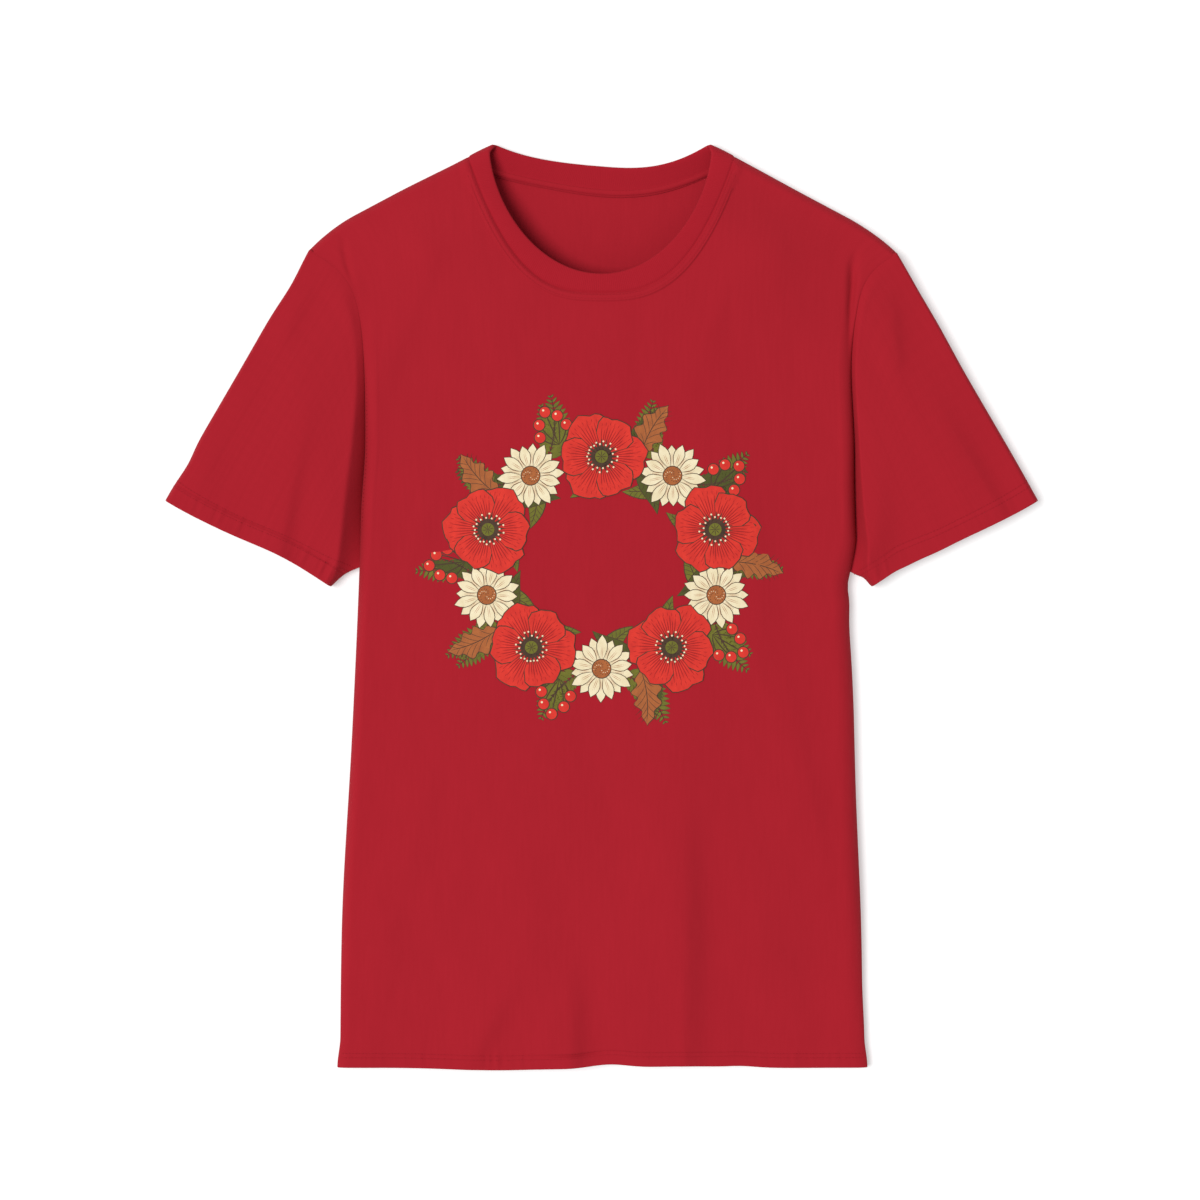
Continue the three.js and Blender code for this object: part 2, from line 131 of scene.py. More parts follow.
# Heights above the table of the cloth and its seams. Pairs are for the wearer's right and left.
CROWN, HEM_LIFT, SHOULDER_LIFT = 0.027, 0.014, 0.017
SIDE_SEAM_HEIGHT, SHOULDER_SEAM_HEIGHT = 0.008, 0.0065
CREASE_HEIGHTS = np.array([
    (0.0080, 0.0080), (0.0056, 0.0056), (0.0060, 0.0062), (0.0096, 0.0100), (0.0145, 0.0136),
    (0.0178, 0.0158), (0.0192, 0.0178), (SHOULDER_LIFT, SHOULDER_LIFT),
])
SIDE_FOLD, SHOULDER_FOLD = 0.014, 0.007
FRONT_SIDE_FOLD, ARMHOLE_FOLD = (0.0085, 0.0140), 0.0105
FOLD_SHARE, FOLD_SHARE_TOP = 0.60, (0.03, 0.12)
BELLY, BELLY_TOP = 0.150, 0.060
FOLD_WIDENS, FOLD_FADES, BELLY_NARROWS = 0.15, (0.56, 0.30), (0.45, 0.45)
SHOULDER_SLOPE, HEM_SLOPE = 0.062, 0.170

CLOTH = 0.0006
BODY_HEM = 0.0107
HEM_ROWS = (0.0107, 0.0074)
HEM_FOLD, HEM_FOLD_STEPS = 0.00062, 5
ROW_GAP = 0.0008
NECK_ROWS = (0.0020, 0.0052)
CUT_EDGE = np.array([0.0001])
SIDE_SHARES = np.linspace(0, 1, 4001)


def mix(first, second, share):
    """The value at that share of the way from first to second."""
    return first + (second - first) * share


def ease(distance, reach):
    """Smooth step: 0 at distance 0, 1 from reach on, flat at both ends (3t^2 - 2t^3)."""
    t = np.clip(distance / reach, 0, 1)
    return t * t * (3 - 2 * t)


def roll(distance, radius):
    """Height of a soft fold over its seam: a quarter ellipse, 0 at the seam and 1 from one radius
    on."""
    rest = 1 - np.clip(distance / radius, 0, 1)
    return np.sqrt(1 - rest * rest)


def bell(distance, width):
    """A bell curve, 1 at distance 0: exp(-(distance / width)^2)."""
    return np.exp(-((distance / width) ** 2))


def unit(vectors):
    """The same directions, each with the length 1."""
    return vectors / np.maximum(np.linalg.norm(vectors, axis=-1, keepdims=True), 1e-12)


def lengths_along(line):
    """How far along a line of points each point lies: the sum of the steps up to it."""
    return np.concatenate([[0], np.cumsum(np.linalg.norm(np.diff(line, axis=0), axis=-1))])


def spline(points, share):
    """A smooth line through points, with share running from 0 at the first to 1 at the last. Each
    stretch is the cubic whose slope at a point is half the way from the point before it to the one
    after it."""
    last = len(points) - 1
    place = np.clip(np.asarray(share, float), 0, 1) * last
    start = np.minimum(place.astype(int), last - 1)
    t = (place - start)[..., None]
    before, here = points[np.maximum(start - 1, 0)], points[start]
    there, after = points[start + 1], points[np.minimum(start + 2, last)]
    slope, next_slope = (there - before) / 2, (after - here) / 2
    cubic = (2 * here - 2 * there + slope + next_slope) * t**3
    return cubic + (3 * there - 3 * here - 2 * slope - next_slope) * t**2 + slope * t + here


def side_share(height):
    """Share along the side edge, from the hem to the shoulder's end, at a height above the hem."""
    return np.interp(height, fine_side[:, 1] - HEM_Y, SIDE_SHARES)


def shoulder_line(across):
    """The shoulder's edge: a straight slant from the neck, and then a parabola that bends down to
    its end."""
    bend = SHOULDER_BEND * np.maximum(across - SHOULDER_BEND_X, 0) ** 2
    return NECK_POINT[1] - SHOULDER_SLANT * (across - NECK_POINT[0]) - bend


def from_shoulder(x, y):
    """Distance from the shoulder line, in plan, measured down into the panel."""
    return (shoulder_line(np.abs(x)) - y) * SHOULDER_NORMAL[1]


def top_edge(x, drop, power):
    """Top edge of a panel: a neckline that drops by 1 - |x / half width|^power, then the shoulder
    line."""
    across = np.abs(x)
    inside = np.minimum(across / NECK_HALF_WIDTH, 1) ** power
    return shoulder_line(np.maximum(across, NECK_HALF_WIDTH)) - drop * (1 - inside)


def front_top(x):
    """The front's top edge."""
    return top_edge(x, FRONT_NECK_DROP, FRONT_NECK_POWER)


def distance_to(x, y, line):
    """Shortest distance in plan from each point (x, y) to a line of straight stretches."""
    start, step = line[:-1], np.diff(line, axis=0)
    away = np.stack([x, y], -1)[..., None, :] - start
    share = np.clip((away * step).sum(-1) / (step * step).sum(-1), 0, 1)
    return np.linalg.norm(away - share[..., None] * step, axis=-1).min(-1)


def near(mask, x, y, line):
    """distance_to where mask is true, and a large number elsewhere."""
    found = np.full(np.shape(x), 1.0)
    found[mask] = distance_to(x[mask], y[mask], line)
    return found


def uneven(place, *waves):
    """A sum of sines of those wavelengths and strengths, each with its own start, from -1 to 1."""
    total = sum(strength for _, strength in waves)
    parts = [s * np.sin(2 * np.pi * place / w + 1.7 * k * k) for k, (w, s) in enumerate(waves, 1)]
    return sum(parts) / total


PLEAT_RUN_IN, PLEAT_RUN_OUT = 0.75, 0.3


def pleat(x, y, start, end, height, steep, gentle):
    """A soft fold from start to end. Across it the cloth rises as a wide half bell of width gentle
    and falls as a narrow one of width steep; along it the height grows from nothing to full at the
    end."""
    start, end = np.array(start), np.array(end)
    length = np.linalg.norm(end - start)
    ahead = (end - start) / length
    along = (x - start[0]) * ahead[0] + (y - start[1]) * ahead[1]
    aside = (y - start[1]) * ahead[0] - (x - start[0]) * ahead[1]
    ends = ease(along, PLEAT_RUN_IN * length) * (1 - ease(along - length, PLEAT_RUN_OUT * length))
    return height * bell(aside, np.where(aside > 0, steep, gentle)) * ends


# Each fold's start, end, height, steep width and gentle width.
BODY_PLEATS = (
    ((0.065, -0.050), (0.062, -0.400), 0.0062, 0.0150, 0.060),
    ((-0.027, -0.235), (-0.026, -0.400), 0.0058, 0.0130, 0.050),
    ((-0.048, -0.250), (-0.112, -0.372), 0.0030, 0.0110, 0.050),
    ((-0.116, -0.060), (-0.168, -0.250), 0.0022, 0.0120, 0.040),
    ((0.118, 0.140), (0.121, -0.030), 0.0016, 0.0140, 0.040),
    ((0.132, -0.005), (0.164, -0.160), 0.0024, 0.0100, 0.034),
    ((-0.138, 0.165), (-0.142, 0.010), 0.0012, 0.0120, 0.030),
    ((-0.186, -0.260), (-0.184, -0.400), 0.0018, 0.0100, 0.030),
    ((0.150, -0.180), (0.146, -0.400), 0.0013, 0.0160, 0.040),
    ((-0.185, 0.225), (-0.178, 0.060), 0.0013, 0.0100, 0.020),
    ((-0.110, 0.330), (-0.165, 0.200), 0.0014, 0.0100, 0.020),
    ((0.112, 0.335), (0.150, 0.230), 0.0020, 0.0160, 0.030),
)
# The hem's dip and rises: height, place and width.
HEM_WAVES = (
    (-0.0016, -0.085, 0.042), (0.0028, 0.007, 0.020), (0.0017, 0.062, 0.040), (0.0012, 0.110, 0.016),
)
SWELL, SWELL_AT_HEM, SLOW_SWELL = 0.00022, 1.2, 0.00035


def hem_wave(x):
    """How far the hem's edge strays from straight: the sum of one dip and three rises, as bell
    curves."""
    return sum(height * bell(x - place, width) for height, place, width in HEM_WAVES)


def swell(x, y):
    """The cloth's slow unevenness: crossed waves of 61 to 310 mm, stronger towards the hem."""
    first = np.sin(2 * np.pi * (x / 0.093 + 0.35 * np.sin(y / 0.09)))
    second = 0.8 * np.sin(2 * np.pi * (x / 0.061 + y / 0.23) + 2.0)
    slow = np.sin(2 * np.pi * (y / 0.17 - x / 0.31) + 0.7)
    return SWELL * (first + second) * (1 + SWELL_AT_HEM * ease(-y, 0.36)) + SLOW_SWELL * slow


def front_crest(x, y):
    """Height of the front away from its seams: low at the hem and the shoulders, full over the
    chest."""
    body = mix(HEM_LIFT, CROWN, ease(y - HEM_Y, HEM_SLOPE))
    pleats = sum(pleat(x, y, *p) for p in BODY_PLEATS)
    return mix(SHOULDER_LIFT, body, ease(from_shoulder(x, y), SHOULDER_SLOPE)) + pleats + swell(x, y)


def up_armhole(y):
    """How far up the armhole a height in plan is: 0 at the underarm and 1 at the shoulder."""
    return (y - UNDERARM[1]) / (SHOULDER_END[1] - UNDERARM[1])


def either_side(x, pair):
    """The first of a pair of values on the wearer's right, and the second on the left."""
    return np.where(np.asarray(x) < 0, pair[0], pair[1])


def edge_height(edge_y, x):
    """Height of the front's side edge: the side seam, and then the crease of the armhole, which is
    deep at the underarm and runs out towards the shoulder, sooner on the wearer's right."""
    heights = spline(CREASE_HEIGHTS, up_armhole(edge_y))
    return either_side(x, (heights[..., 0], heights[..., 1]))


def side_shape(inward, edge_y, x):
    """Share of its full height that the front has at a distance inside its side edge: a tight
    quarter ellipse at the seam, which fades where the crease runs out, and a slow rise."""
    up = up_armhole(edge_y)
    fold = mix(either_side(x, FRONT_SIDE_FOLD), ARMHOLE_FOLD, ease(up, FOLD_WIDENS))
    share = mix(FOLD_SHARE, either_side(x, FOLD_SHARE_TOP), ease(up - FOLD_FADES[0], FOLD_FADES[1]))
    belly = mix(BELLY, BELLY_TOP, ease(up - BELLY_NARROWS[0], BELLY_NARROWS[1]))
    return share * roll(inward, fold) + (1 - share) * ease(inward, belly)


def panel_plan(across, up, top):
    """Plan of a body panel. across runs from -1 to 1 between the side edges, and up from 0 at the
    hem to 1 at the top edge. Columns follow the side edges' waist with across^3; rows are straight
    at the hem and bend to the top edge's shape with share^3. The hem's corners flare out a
    little."""
    edge = spline(SIDE, up)
    edge[..., 0] += HEM_FLARE * (1 - ease(edge[..., 1] - HEM_Y, HEM_FLARE_HEIGHT))
    share = (edge[..., 1] - HEM_Y) / (SHOULDER_END[1] - HEM_Y)
    x = across * SHOULDER_END[0] - across**3 * (SHOULDER_END[0] - edge[..., 0])
    y = edge[..., 1] + (top(across * SHOULDER_END[0]) - SHOULDER_END[1]) * share**3
    y = y + hem_wave(x) * (1 - ease(y - HEM_Y, HEM_WAVE_HEIGHT))
    return x, y, edge, edge[..., 0] - np.abs(x)


def sewn(distance, rows, depth, width):
    """The dent of rows of stitches at those distances from an edge: a narrow bell under each
    row."""
    return -depth * sum(bell(distance - row, width) for row in rows)


neckline_x = NECK_HALF_WIDTH * np.cos(np.linspace(np.pi, 0, 241))
front_neckline = np.stack([neckline_x, front_top(neckline_x)], -1)
front_armhole = spline(SIDE, np.linspace(UNDERARM_SHARE, 1, 161))
fine_side = spline(SIDE, SIDE_SHARES)

HEM_RISE, HEM_RISE_START, HEM_RISE_REACH = 0.00045, 0.0100, 0.0016
HEM_NIP, HEM_NIP_X, HEM_NIP_UP = 0.0021, (-0.019, 0.021), (0.0096, 0.0009)
HEM_DENT, DENT_WIDTH = 0.00035, 0.0007
HEM_PUCKER, PUCKER_UP, PUCKER_SHIFT = 0.00032, (0.007, 0.0060), 0.3
PUCKER_WAVES, PUCKER_SWELL = ((0.0071, 1), (0.0113, 0.8), (0.0047, 0.5)), ((0.083, 1), (0.047, 1))
MOST_PUCKERED = ((6.0, -0.105, 0.032), (2.5, 0.175, 0.030))


def hem_relief(x, y):
    """Relief of the turned hem: thicker below its stitches, dented along them and slightly
    puckered. It is pulled in tighter along one stretch near the middle, and puckers most in two
    stretches."""
    above = y - HEM_Y - hem_wave(x)
    thick = HEM_RISE * (1 - ease(above - HEM_RISE_START, HEM_RISE_REACH))
    nip = HEM_NIP * bell(x - HEM_NIP_X[0], HEM_NIP_X[1]) * bell(above - HEM_NIP_UP[0], HEM_NIP_UP[1])
    puckered = 1 + sum(more * bell(x - place, width) for more, place, width in MOST_PUCKERED)
    wave = uneven(x, *PUCKER_WAVES) * uneven(x + PUCKER_SHIFT, *PUCKER_SWELL)
    pull = HEM_PUCKER * wave * puckered * bell(above - PUCKER_UP[0], PUCKER_UP[1])
    return thick - nip + sewn(above, HEM_ROWS, HEM_DENT, DENT_WIDTH) + pull


NECK_ALLOWANCE, NECK_ALLOWANCE_EDGE = 0.0062, 0.0015
NECK_RISE, NECK_GROOVE, NECK_GROOVE_WIDTH = (0.0011, 0.0012), (0.0019, 0.0009), (0.0013, 0.0009)
NECK_DENT, NECK_DENT_WIDTH = 0.00030, 0.0005
NECK_CHANGE, NECK_REACH = (-0.05, 0.10), (0.012, 0.05)


def neck_relief(x, y):
    """Relief round the neckline: a groove at the seam, raised over the seam's turned edges, and
    dented by the twin needle rows. The groove is deeper on the wearer's right and the raised strip
    on the left."""
    beside = (np.abs(x) < NECK_HALF_WIDTH + NECK_REACH[0]) & (y > front_top(x) - NECK_REACH[1])
    away = near(beside, x, y, front_neckline)
    to_left = ease(x - NECK_CHANGE[0], NECK_CHANGE[1])
    raised = mix(*NECK_RISE, to_left) * (1 - ease(away - NECK_ALLOWANCE, NECK_ALLOWANCE_EDGE))
    groove = mix(*NECK_GROOVE, to_left) * bell(away, mix(*NECK_GROOVE_WIDTH, to_left))
    return raised - groove + sewn(away, NECK_ROWS, NECK_DENT, NECK_DENT_WIDTH)


ARMHOLE_ALLOWANCE, ARMHOLE_ALLOWANCE_EDGE = 0.0100, 0.0018
ARMHOLE_RISE, ARMHOLE_RISE_RUN = 0.00050, 0.05
ARMHOLE_REACH = (0.15, 0.01)


def armhole_relief(x, y):
    """Relief beside the armhole: the seam's turned edges lift the cloth a little up to their raw
    edge."""
    beside = (np.abs(x) > ARMHOLE_REACH[0]) & (y > UNDERARM[1] - ARMHOLE_REACH[1])
    away = near(beside, np.abs(x), y, front_armhole)
    allowance = 1 - ease(away - ARMHOLE_ALLOWANCE, ARMHOLE_ALLOWANCE_EDGE)
    return ARMHOLE_RISE * allowance * ease(y - UNDERARM[1], ARMHOLE_RISE_RUN)


# Each crease's line, depth, width and run-in from its top.
SHOULDER_CREASES = (
    (((-0.2045, 0.2940), (-0.2033, 0.2747), (-0.2007, 0.2534), (-0.1962, 0.2363), (-0.1930, 0.2200)),
     0.0016, 0.0024, 0.020),
    (((0.2026, 0.2868), (0.1958, 0.2685), (0.1914, 0.2368), (0.1914, 0.1750)),
     0.0048, 0.0034, 0.035),
)
CREASE_EDGE = 0.0055
CREASE_REACH = (0.03, 0.02)


def shoulder_creases(x, y):
    """A crease pressed into the front beside each armhole, along a few straight stretches: a bell
    across it, which deepens down from the shoulder and runs out again over its lowest stretch."""
    total = 0.0
    for line, depth, width, run_in in SHOULDER_CREASES:
        line = np.array(line)
        beside = (np.abs(x - line[1, 0]) < CREASE_REACH[0]) & (y > line[-1, 1] - CREASE_REACH[1])
        low = line[-2, 1] - line[-1, 1]
        along = ease(line[0, 1] - y, run_in) * (1 - ease(line[-2, 1] - y, low))
        total = total + depth * bell(near(beside, x, y, line), width) * along
    return total


def front_height(x, y, inward, edge_y):
    """Height of the front's outer surface: from the seams up to the crest, with the relief of its
    hem, neckline, armholes and creases, and down again to the shoulder seam as a quarter
    ellipse."""
    seam = edge_height(edge_y, x)
    crest = front_crest(x, y) + hem_relief(x, y) + armhole_relief(x, y)
    height = seam + (crest - seam) * side_shape(inward, edge_y, x) + neck_relief(x, y)
    height = height - shoulder_creases(x, y) * ease(inward, CREASE_EDGE)
    return mix(SHOULDER_SEAM_HEIGHT, height, roll(from_shoulder(x, y), SHOULDER_FOLD))


def front_at(x, y):
    """The same height from a place in plan alone, with the side edge found at the place's own
    height."""
    return front_height(x, y, np.interp(y, fine_side[:, 1], fine_side[:, 0]) - np.abs(x), y)


# How the shirt lies askew. Each pull has a side (1 the wearer's left, -1 the right), amounts
# across and up, its windows across, measured out from the middle, and its windows up the shirt.
FAR = 9.0
PULLS = (
    # The left armhole lies further out, most at its foot, and the right one further in.
    (1, (0.0100, 0), [(0.140, 0.045, 0.192, 0.060)], [(0.010, 0.045, 0.225, 0.075)]),
    (1, (-0.0034, 0), [(0.140, 0.045, 0.192, 0.060)], [(0.120, 0.080, 0.225, 0.075)]),
    (-1, (0.0030, 0), [(0.140, 0.045, 0.200, 0.060)], [(0.070, 0.060, 0.250, 0.040)]),
    # The left side, the hem's corner and the side just below the underarm lie further out.
    (1, (0.0033, 0), [(0.140, 0.045, FAR, 1)], [(-0.062, 0.090)]),
    (1, (0.0014, 0), [(0.140, 0.045, FAR, 1)], [(-FAR, 1, -0.345, 0.050)]),
    (1, (0.0016, 0), [(0.140, 0.045, 0.196, 0.010)], [(0.004, 0.014)]),
    # The left underarm is pulled down, and the cuff's corner beside it in.
    (1, (0, -0.0038), [(0.195, 0.013)], [(0.028, 0.013)]),
    (1, (-0.0020, 0), [(0.2137, 0.010)], [(0.015, 0.010)]),
    # The left shoulder lies further out and down, and the right one up.
    (1, (0.0016, 0), [(0.200, 0.030, 0.262, 0.050)], [(0.170, 0.060, FAR, 1)]),
    (1, (0, -0.0006), [(0.105, 0.060, 0.235, 0.080)], [(0.170, 0.080, FAR, 1)]),
    (-1, (0, 0.0016), [(0.105, 0.060, 0.235, 0.080)], [(0.170, 0.080, FAR, 1)]),
    # The right sleeve's top fold is nipped in above its hem and near the shoulder.
    (-1, (0.0020, 0), [(0.285, 0.045, FAR, 1)], [(0.112, 0.013)]),
    (-1, (0.0018, 0), [(0.215, 0.030, FAR, 1)], [(0.249, 0.018)]),
    # Both cuffs' outer corners hang lower, and the left cuff's line waves.
    (1, (0, -0.0024), [(0.290, 0.055, FAR, 1)], [(0.070, 0.035)]),
    (-1, (0, -0.0024), [(0.290, 0.055, FAR, 1)], [(0.070, 0.035)]),
    (1, (0, 0.0018), [(0.200, 0.012, FAR, 1), (0.228, 0.010)], [(-FAR, 1, 0.050, 0.050)]),
    (1, (0, -0.0017), [(0.200, 0.012, FAR, 1), (0.262, 0.018)], [(-FAR, 1, 0.050, 0.050)]),
)


def window(place, start, run_in, end=None, run_out=None):
    """Where a pull acts. With two values it is a bell about a place, of that width; with four it is
    1 from one place to another, eased in over the first run and out over the second."""
    if end is None:
        return bell(place - start, run_in)
    return ease(place - start, run_in) * (1 - ease(place - end, run_out))


def drift(points):
    """Moves points of the shirt by the sum of its pulls: each one's amounts times all of its
    windows."""
    pull = np.zeros_like(points)
    for side, amounts, across, up in PULLS:
        shares = [window(side * points[..., 0], *w) for w in across]
        shares += [window(points[..., 1], *w) for w in up]
        pull[..., :2] += np.prod(shares, axis=0)[..., None] * np.array(amounts)
    return points + pull


def front_point(across, up):
    """Outer surface of the front panel."""
    x, y, edge, inward = panel_plan(across, up, front_top)
    return drift(np.stack([x, y, front_height(x, y, inward, edge[..., 1])], -1))


def graded(length, places, gaps):
    """Positions from 0 to length whose gaps follow the given gaps between the given places."""
    fine = np.linspace(0, length, 6001)
    spacing = np.interp(fine, places, gaps)
    count = np.concatenate([[0], np.cumsum(np.diff(fine) / spacing[:-1])])
    return np.interp(np.linspace(0, count[-1], int(np.ceil(count[-1])) + 1), count, fine)


FOLD_COLUMNS = 12
CLOSE_GAP, EDGE_GAP = 0.0007, 0.00006
OVER_HEM, HEM_TO_EVEN, BELOW_TOP = 0.003, 0.03, (0.055, 0.022, 0.006)
FRONT_GAPS, BACK_GAPS = (0.0021, 0.0056), (0.0034, 0.0085)


def panel_columns(gap):
    """Columns from -1 to 1: even across the panel, closing up over the side folds, and one column a
    hair inside each cut edge, so that the edge's own turn shades no wider than that."""
    fold = SIDE_FOLD / HEM_HALF_WIDTH
    even = np.linspace(0, 1 - fold, int(HEM_HALF_WIDTH / gap))
    closing = 1 - fold * (1 - np.cos(np.linspace(np.pi / 2, 0, FOLD_COLUMNS)))
    right = np.concatenate([even, closing[1:-1], 1 - CUT_EDGE, closing[-1:]])
    return np.concatenate([-right[:0:-1], right])


def panel_rows(gap):
    """Rows from 0 at the hem to 1 at the top edge: close together over the hem and below the
    neckline."""
    length = SHOULDER_END[1] - HEM_Y
    hem = BODY_HEM + OVER_HEM
    places = [0, hem, hem + HEM_TO_EVEN, *(length - below for below in BELOW_TOP), length]
    gaps = [ROW_GAP, ROW_GAP, gap, gap, ROW_GAP, CLOSE_GAP, EDGE_GAP]
    return side_share(graded(length, places, gaps))


def normals_of(grid, closed=False):
    """Unit normals of a grid of points, from the differences along its rows and its columns. On a
    closed grid, whose last column repeats its first, the columns' differences run on round it."""
    wide = np.concatenate([grid[:, -2:-1], grid, grid[:, 1:2]], 1) if closed else grid
    up, right = np.gradient(grid, axis=-3), np.gradient(wide, axis=-2)
    return unit(np.cross(right[:, 1:-1] if closed else right, up))


def turned_hem(grid, depth, closed=False):
    """Adds a turned hem of that depth before a grid's first row: a half circle round the edge, then
    the cloth's first rows again, one fold's width below them, back to the hem's raw edge."""
    layer = int(round(depth / ROW_GAP))
    normal = normals_of(grid, closed)
    angle = np.linspace(0, np.pi, HEM_FOLD_STEPS + 1)[1:, None, None]
    turn = np.sin(angle) * unit(grid[0] - grid[1]) - (1 - np.cos(angle)) * normal[0]
    fold = grid[0] + HEM_FOLD * turn
    under = grid[1:layer] - 2 * HEM_FOLD * normal[1:layer]
    return np.concatenate([under[::-1], fold[::-1], grid])


def cloth_map(grid):
    """A grid's place on the flat cloth in metres: lengths along its middle row and its middle
    column."""
    u, v = lengths_along(grid[len(grid) // 2]), lengths_along(grid[:, grid.shape[1] // 2])
    return np.stack(np.meshgrid(u - u[-1] / 2, v), -1)


# Points nearer than the first are merged, and edges shorter than the second are dissolved.
MEETING, NO_LENGTH = 1e-6, 1e-7


def make_piece(name, grids, material, node):
    """One mesh from pairs of point grids and cloth maps, rows by columns and any number of copies
    at once. Points that meet are merged, which closes tubes and tips. It rides on the shirt and
    stands for node."""
    points, corners, places, count = [], [], [], 0
    for grid, place in grids:
        rows, columns = grid.shape[-3:-1]
        index = np.arange(grid.size // 3).reshape(-1, rows, columns) + count
        low, high = index[:, :-1], index[:, 1:]
        quads = np.stack([low[..., :-1], low[..., 1:], high[..., 1:], high[..., :-1]], -1)
        points.append(grid.reshape(-1, 3))
        corners.append(quads.reshape(-1, 4))
        places.append(np.broadcast_to(place, (*grid.shape[:-1], 2)).reshape(-1, 2))
        count += grid.size // 3
    points, corners, places = map(np.concatenate, (points, corners, places))
    mesh = bpy.data.meshes.new(name)
    mesh.vertices.add(len(points))
    mesh.vertices.foreach_set("co", points.astype(np.float32).ravel())
    mesh.loops.add(corners.size)
    mesh.loops.foreach_set("vertex_index", corners.astype(np.int32).ravel())
    mesh.polygons.add(len(corners))
    mesh.polygons.foreach_set("loop_start", np.arange(0, corners.size, 4, dtype=np.int32))
    mesh.update(calc_edges=True)
    cloth_places = places[corners.ravel()].astype(np.float32).ravel()
    mesh.uv_layers.new(name="cloth").uv.foreach_set("vector", cloth_places)
    build = bmesh.new()
    build.from_mesh(mesh)
    bmesh.ops.remove_doubles(build, verts=build.verts, dist=MEETING)
    bmesh.ops.dissolve_degenerate(build, edges=build.edges, dist=NO_LENGTH)
    build.to_mesh(mesh)
    build.free()
    mesh.polygons.foreach_set("use_smooth", np.ones(len(mesh.polygons), bool))
    mesh.materials.append(material)
    piece = add_object(name, mesh)
    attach(piece, "root")
    if node:
        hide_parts(node)
    return piece


def thicken(piece, thickness):
    """Gives a cloth piece its thickness, inwards from its outer surface."""
    solid = piece.modifiers.new("cloth_thickness", "SOLIDIFY")
    solid.thickness = thickness
    solid.offset = -1
    solid.use_even_offset = False
    return piece


def add_jersey(name, grid, node, thickness=CLOTH):
    """A piece of jersey from the grid of its outer surface."""
    return thicken(make_piece(name, [(grid, cloth_map(grid))], jersey, node), thickness)


JERSEY_RED, JERSEY_DEEP = (0.346, 0.0092, 0.0186, 1.0), (0.318, 0.0078, 0.0162, 1.0)
WALE, COURSE = 0.00072, 0.00056
NAP = {"Sheen_Weight": 0.03, "Sheen_Roughness": 0.5, "Sheen_Tint": (1.0, 0.30, 0.32, 1.0)}


class Nodes:
    """Short ways to add nodes to a material: a value is a number or another node's output."""

    def __init__(self, name):
        """A new material and its shader."""
        self.material = bpy.data.materials.new(name)
        self.material.use_nodes = True
        self.tree = self.material.node_tree
        self.shader = self.tree.nodes["Principled BSDF"]

    def feed(self, socket, value):
        """Links a node's output to a socket, or sets the socket's own value."""
        if isinstance(value, bpy.types.NodeSocket):
            self.tree.links.new(value, socket)
        else:
            socket.default_value = value

    def fill(self, node, **values):
        """Feeds a node's sockets by name, with an underscore for each space."""
        for name, value in values.items():
            self.feed(node.inputs[name.replace("_", " ")], value)

    def math(self, operation, *values):
        """One step of arithmetic on one to three values."""
        node = self.tree.nodes.new("ShaderNodeMath")
        node.operation = operation
        for socket, value in zip(node.inputs, values):
            self.feed(socket, value)
        return node.outputs[0]

    def plus(self, first, second):
        """The sum of two values."""
        return self.math("ADD", first, second)

    def times(self, first, second):
        """The product of two values."""
        return self.math("MULTIPLY", first, second)

    def place(self, across, along):
        """The cloth's own place, stretched by across and along, as a vector and its two parts."""
        uv = self.tree.nodes.new("ShaderNodeUVMap")
        uv.uv_map = "cloth"
        size = self.tree.nodes.new("ShaderNodeMapping")
        self.fill(size, Scale=(across, along, 1), Vector=uv.outputs[0])
        parts = self.tree.nodes.new("ShaderNodeSeparateXYZ")
        self.feed(parts.inputs[0], size.outputs[0])
        return size.outputs[0], parts.outputs[0], parts.outputs[1]

    def noise(self, across, along, detail, roughness=0.55):
        """Cloudy unevenness with that many clouds to a metre across and along the cloth."""
        node = self.tree.nodes.new("ShaderNodeTexNoise")
        place = self.place(across, along)[0]
        self.fill(node, Scale=1.0, Detail=detail, Roughness=roughness, Vector=place)
        return node.outputs["Fac"]

    def blend(self, share, first, second):
        """The colour at that share of the way from the first to the second."""
        node = self.tree.nodes.new("ShaderNodeMix")
        node.data_type = "RGBA"
        self.fill(node, Factor=share, A=first, B=second)
        return node.outputs["Result"]

    def bump(self, height, depth, strength):
        """Gives the surface a fine relief from a height of 0 to 1, that many metres deep."""
        node = self.tree.nodes.new("ShaderNodeBump")
        self.fill(node, Strength=strength, Distance=depth, Height=height)
        self.fill(self.shader, Normal=node.outputs[0])

    def finish(self, **values):
        """Feeds the shader's own sockets and gives the finished material."""
        self.fill(self.shader, **values)
        return self.material


def knit_height(nodes, wale, course):
    """Relief of plain knitting, 0 to 1: each wale is a rounded rib whose two legs slant into Vs, so
    the course's wave is shifted by the distance from the wale's middle line."""
    _, across, along = nodes.place(1 / wale, 1 / course)
    leg = nodes.math("ABSOLUTE", nodes.math("SUBTRACT", nodes.math("FRACT", across), 0.5))
    rib = nodes.math("SINE", nodes.times(nodes.math("FRACT", across), np.pi))
    turn = nodes.times(nodes.plus(along, nodes.times(leg, 1.1)), 2 * np.pi)
    wave = nodes.math("MULTIPLY_ADD", nodes.math("COSINE", turn), 0.25, 0.75)
    return nodes.times(rib, wave)


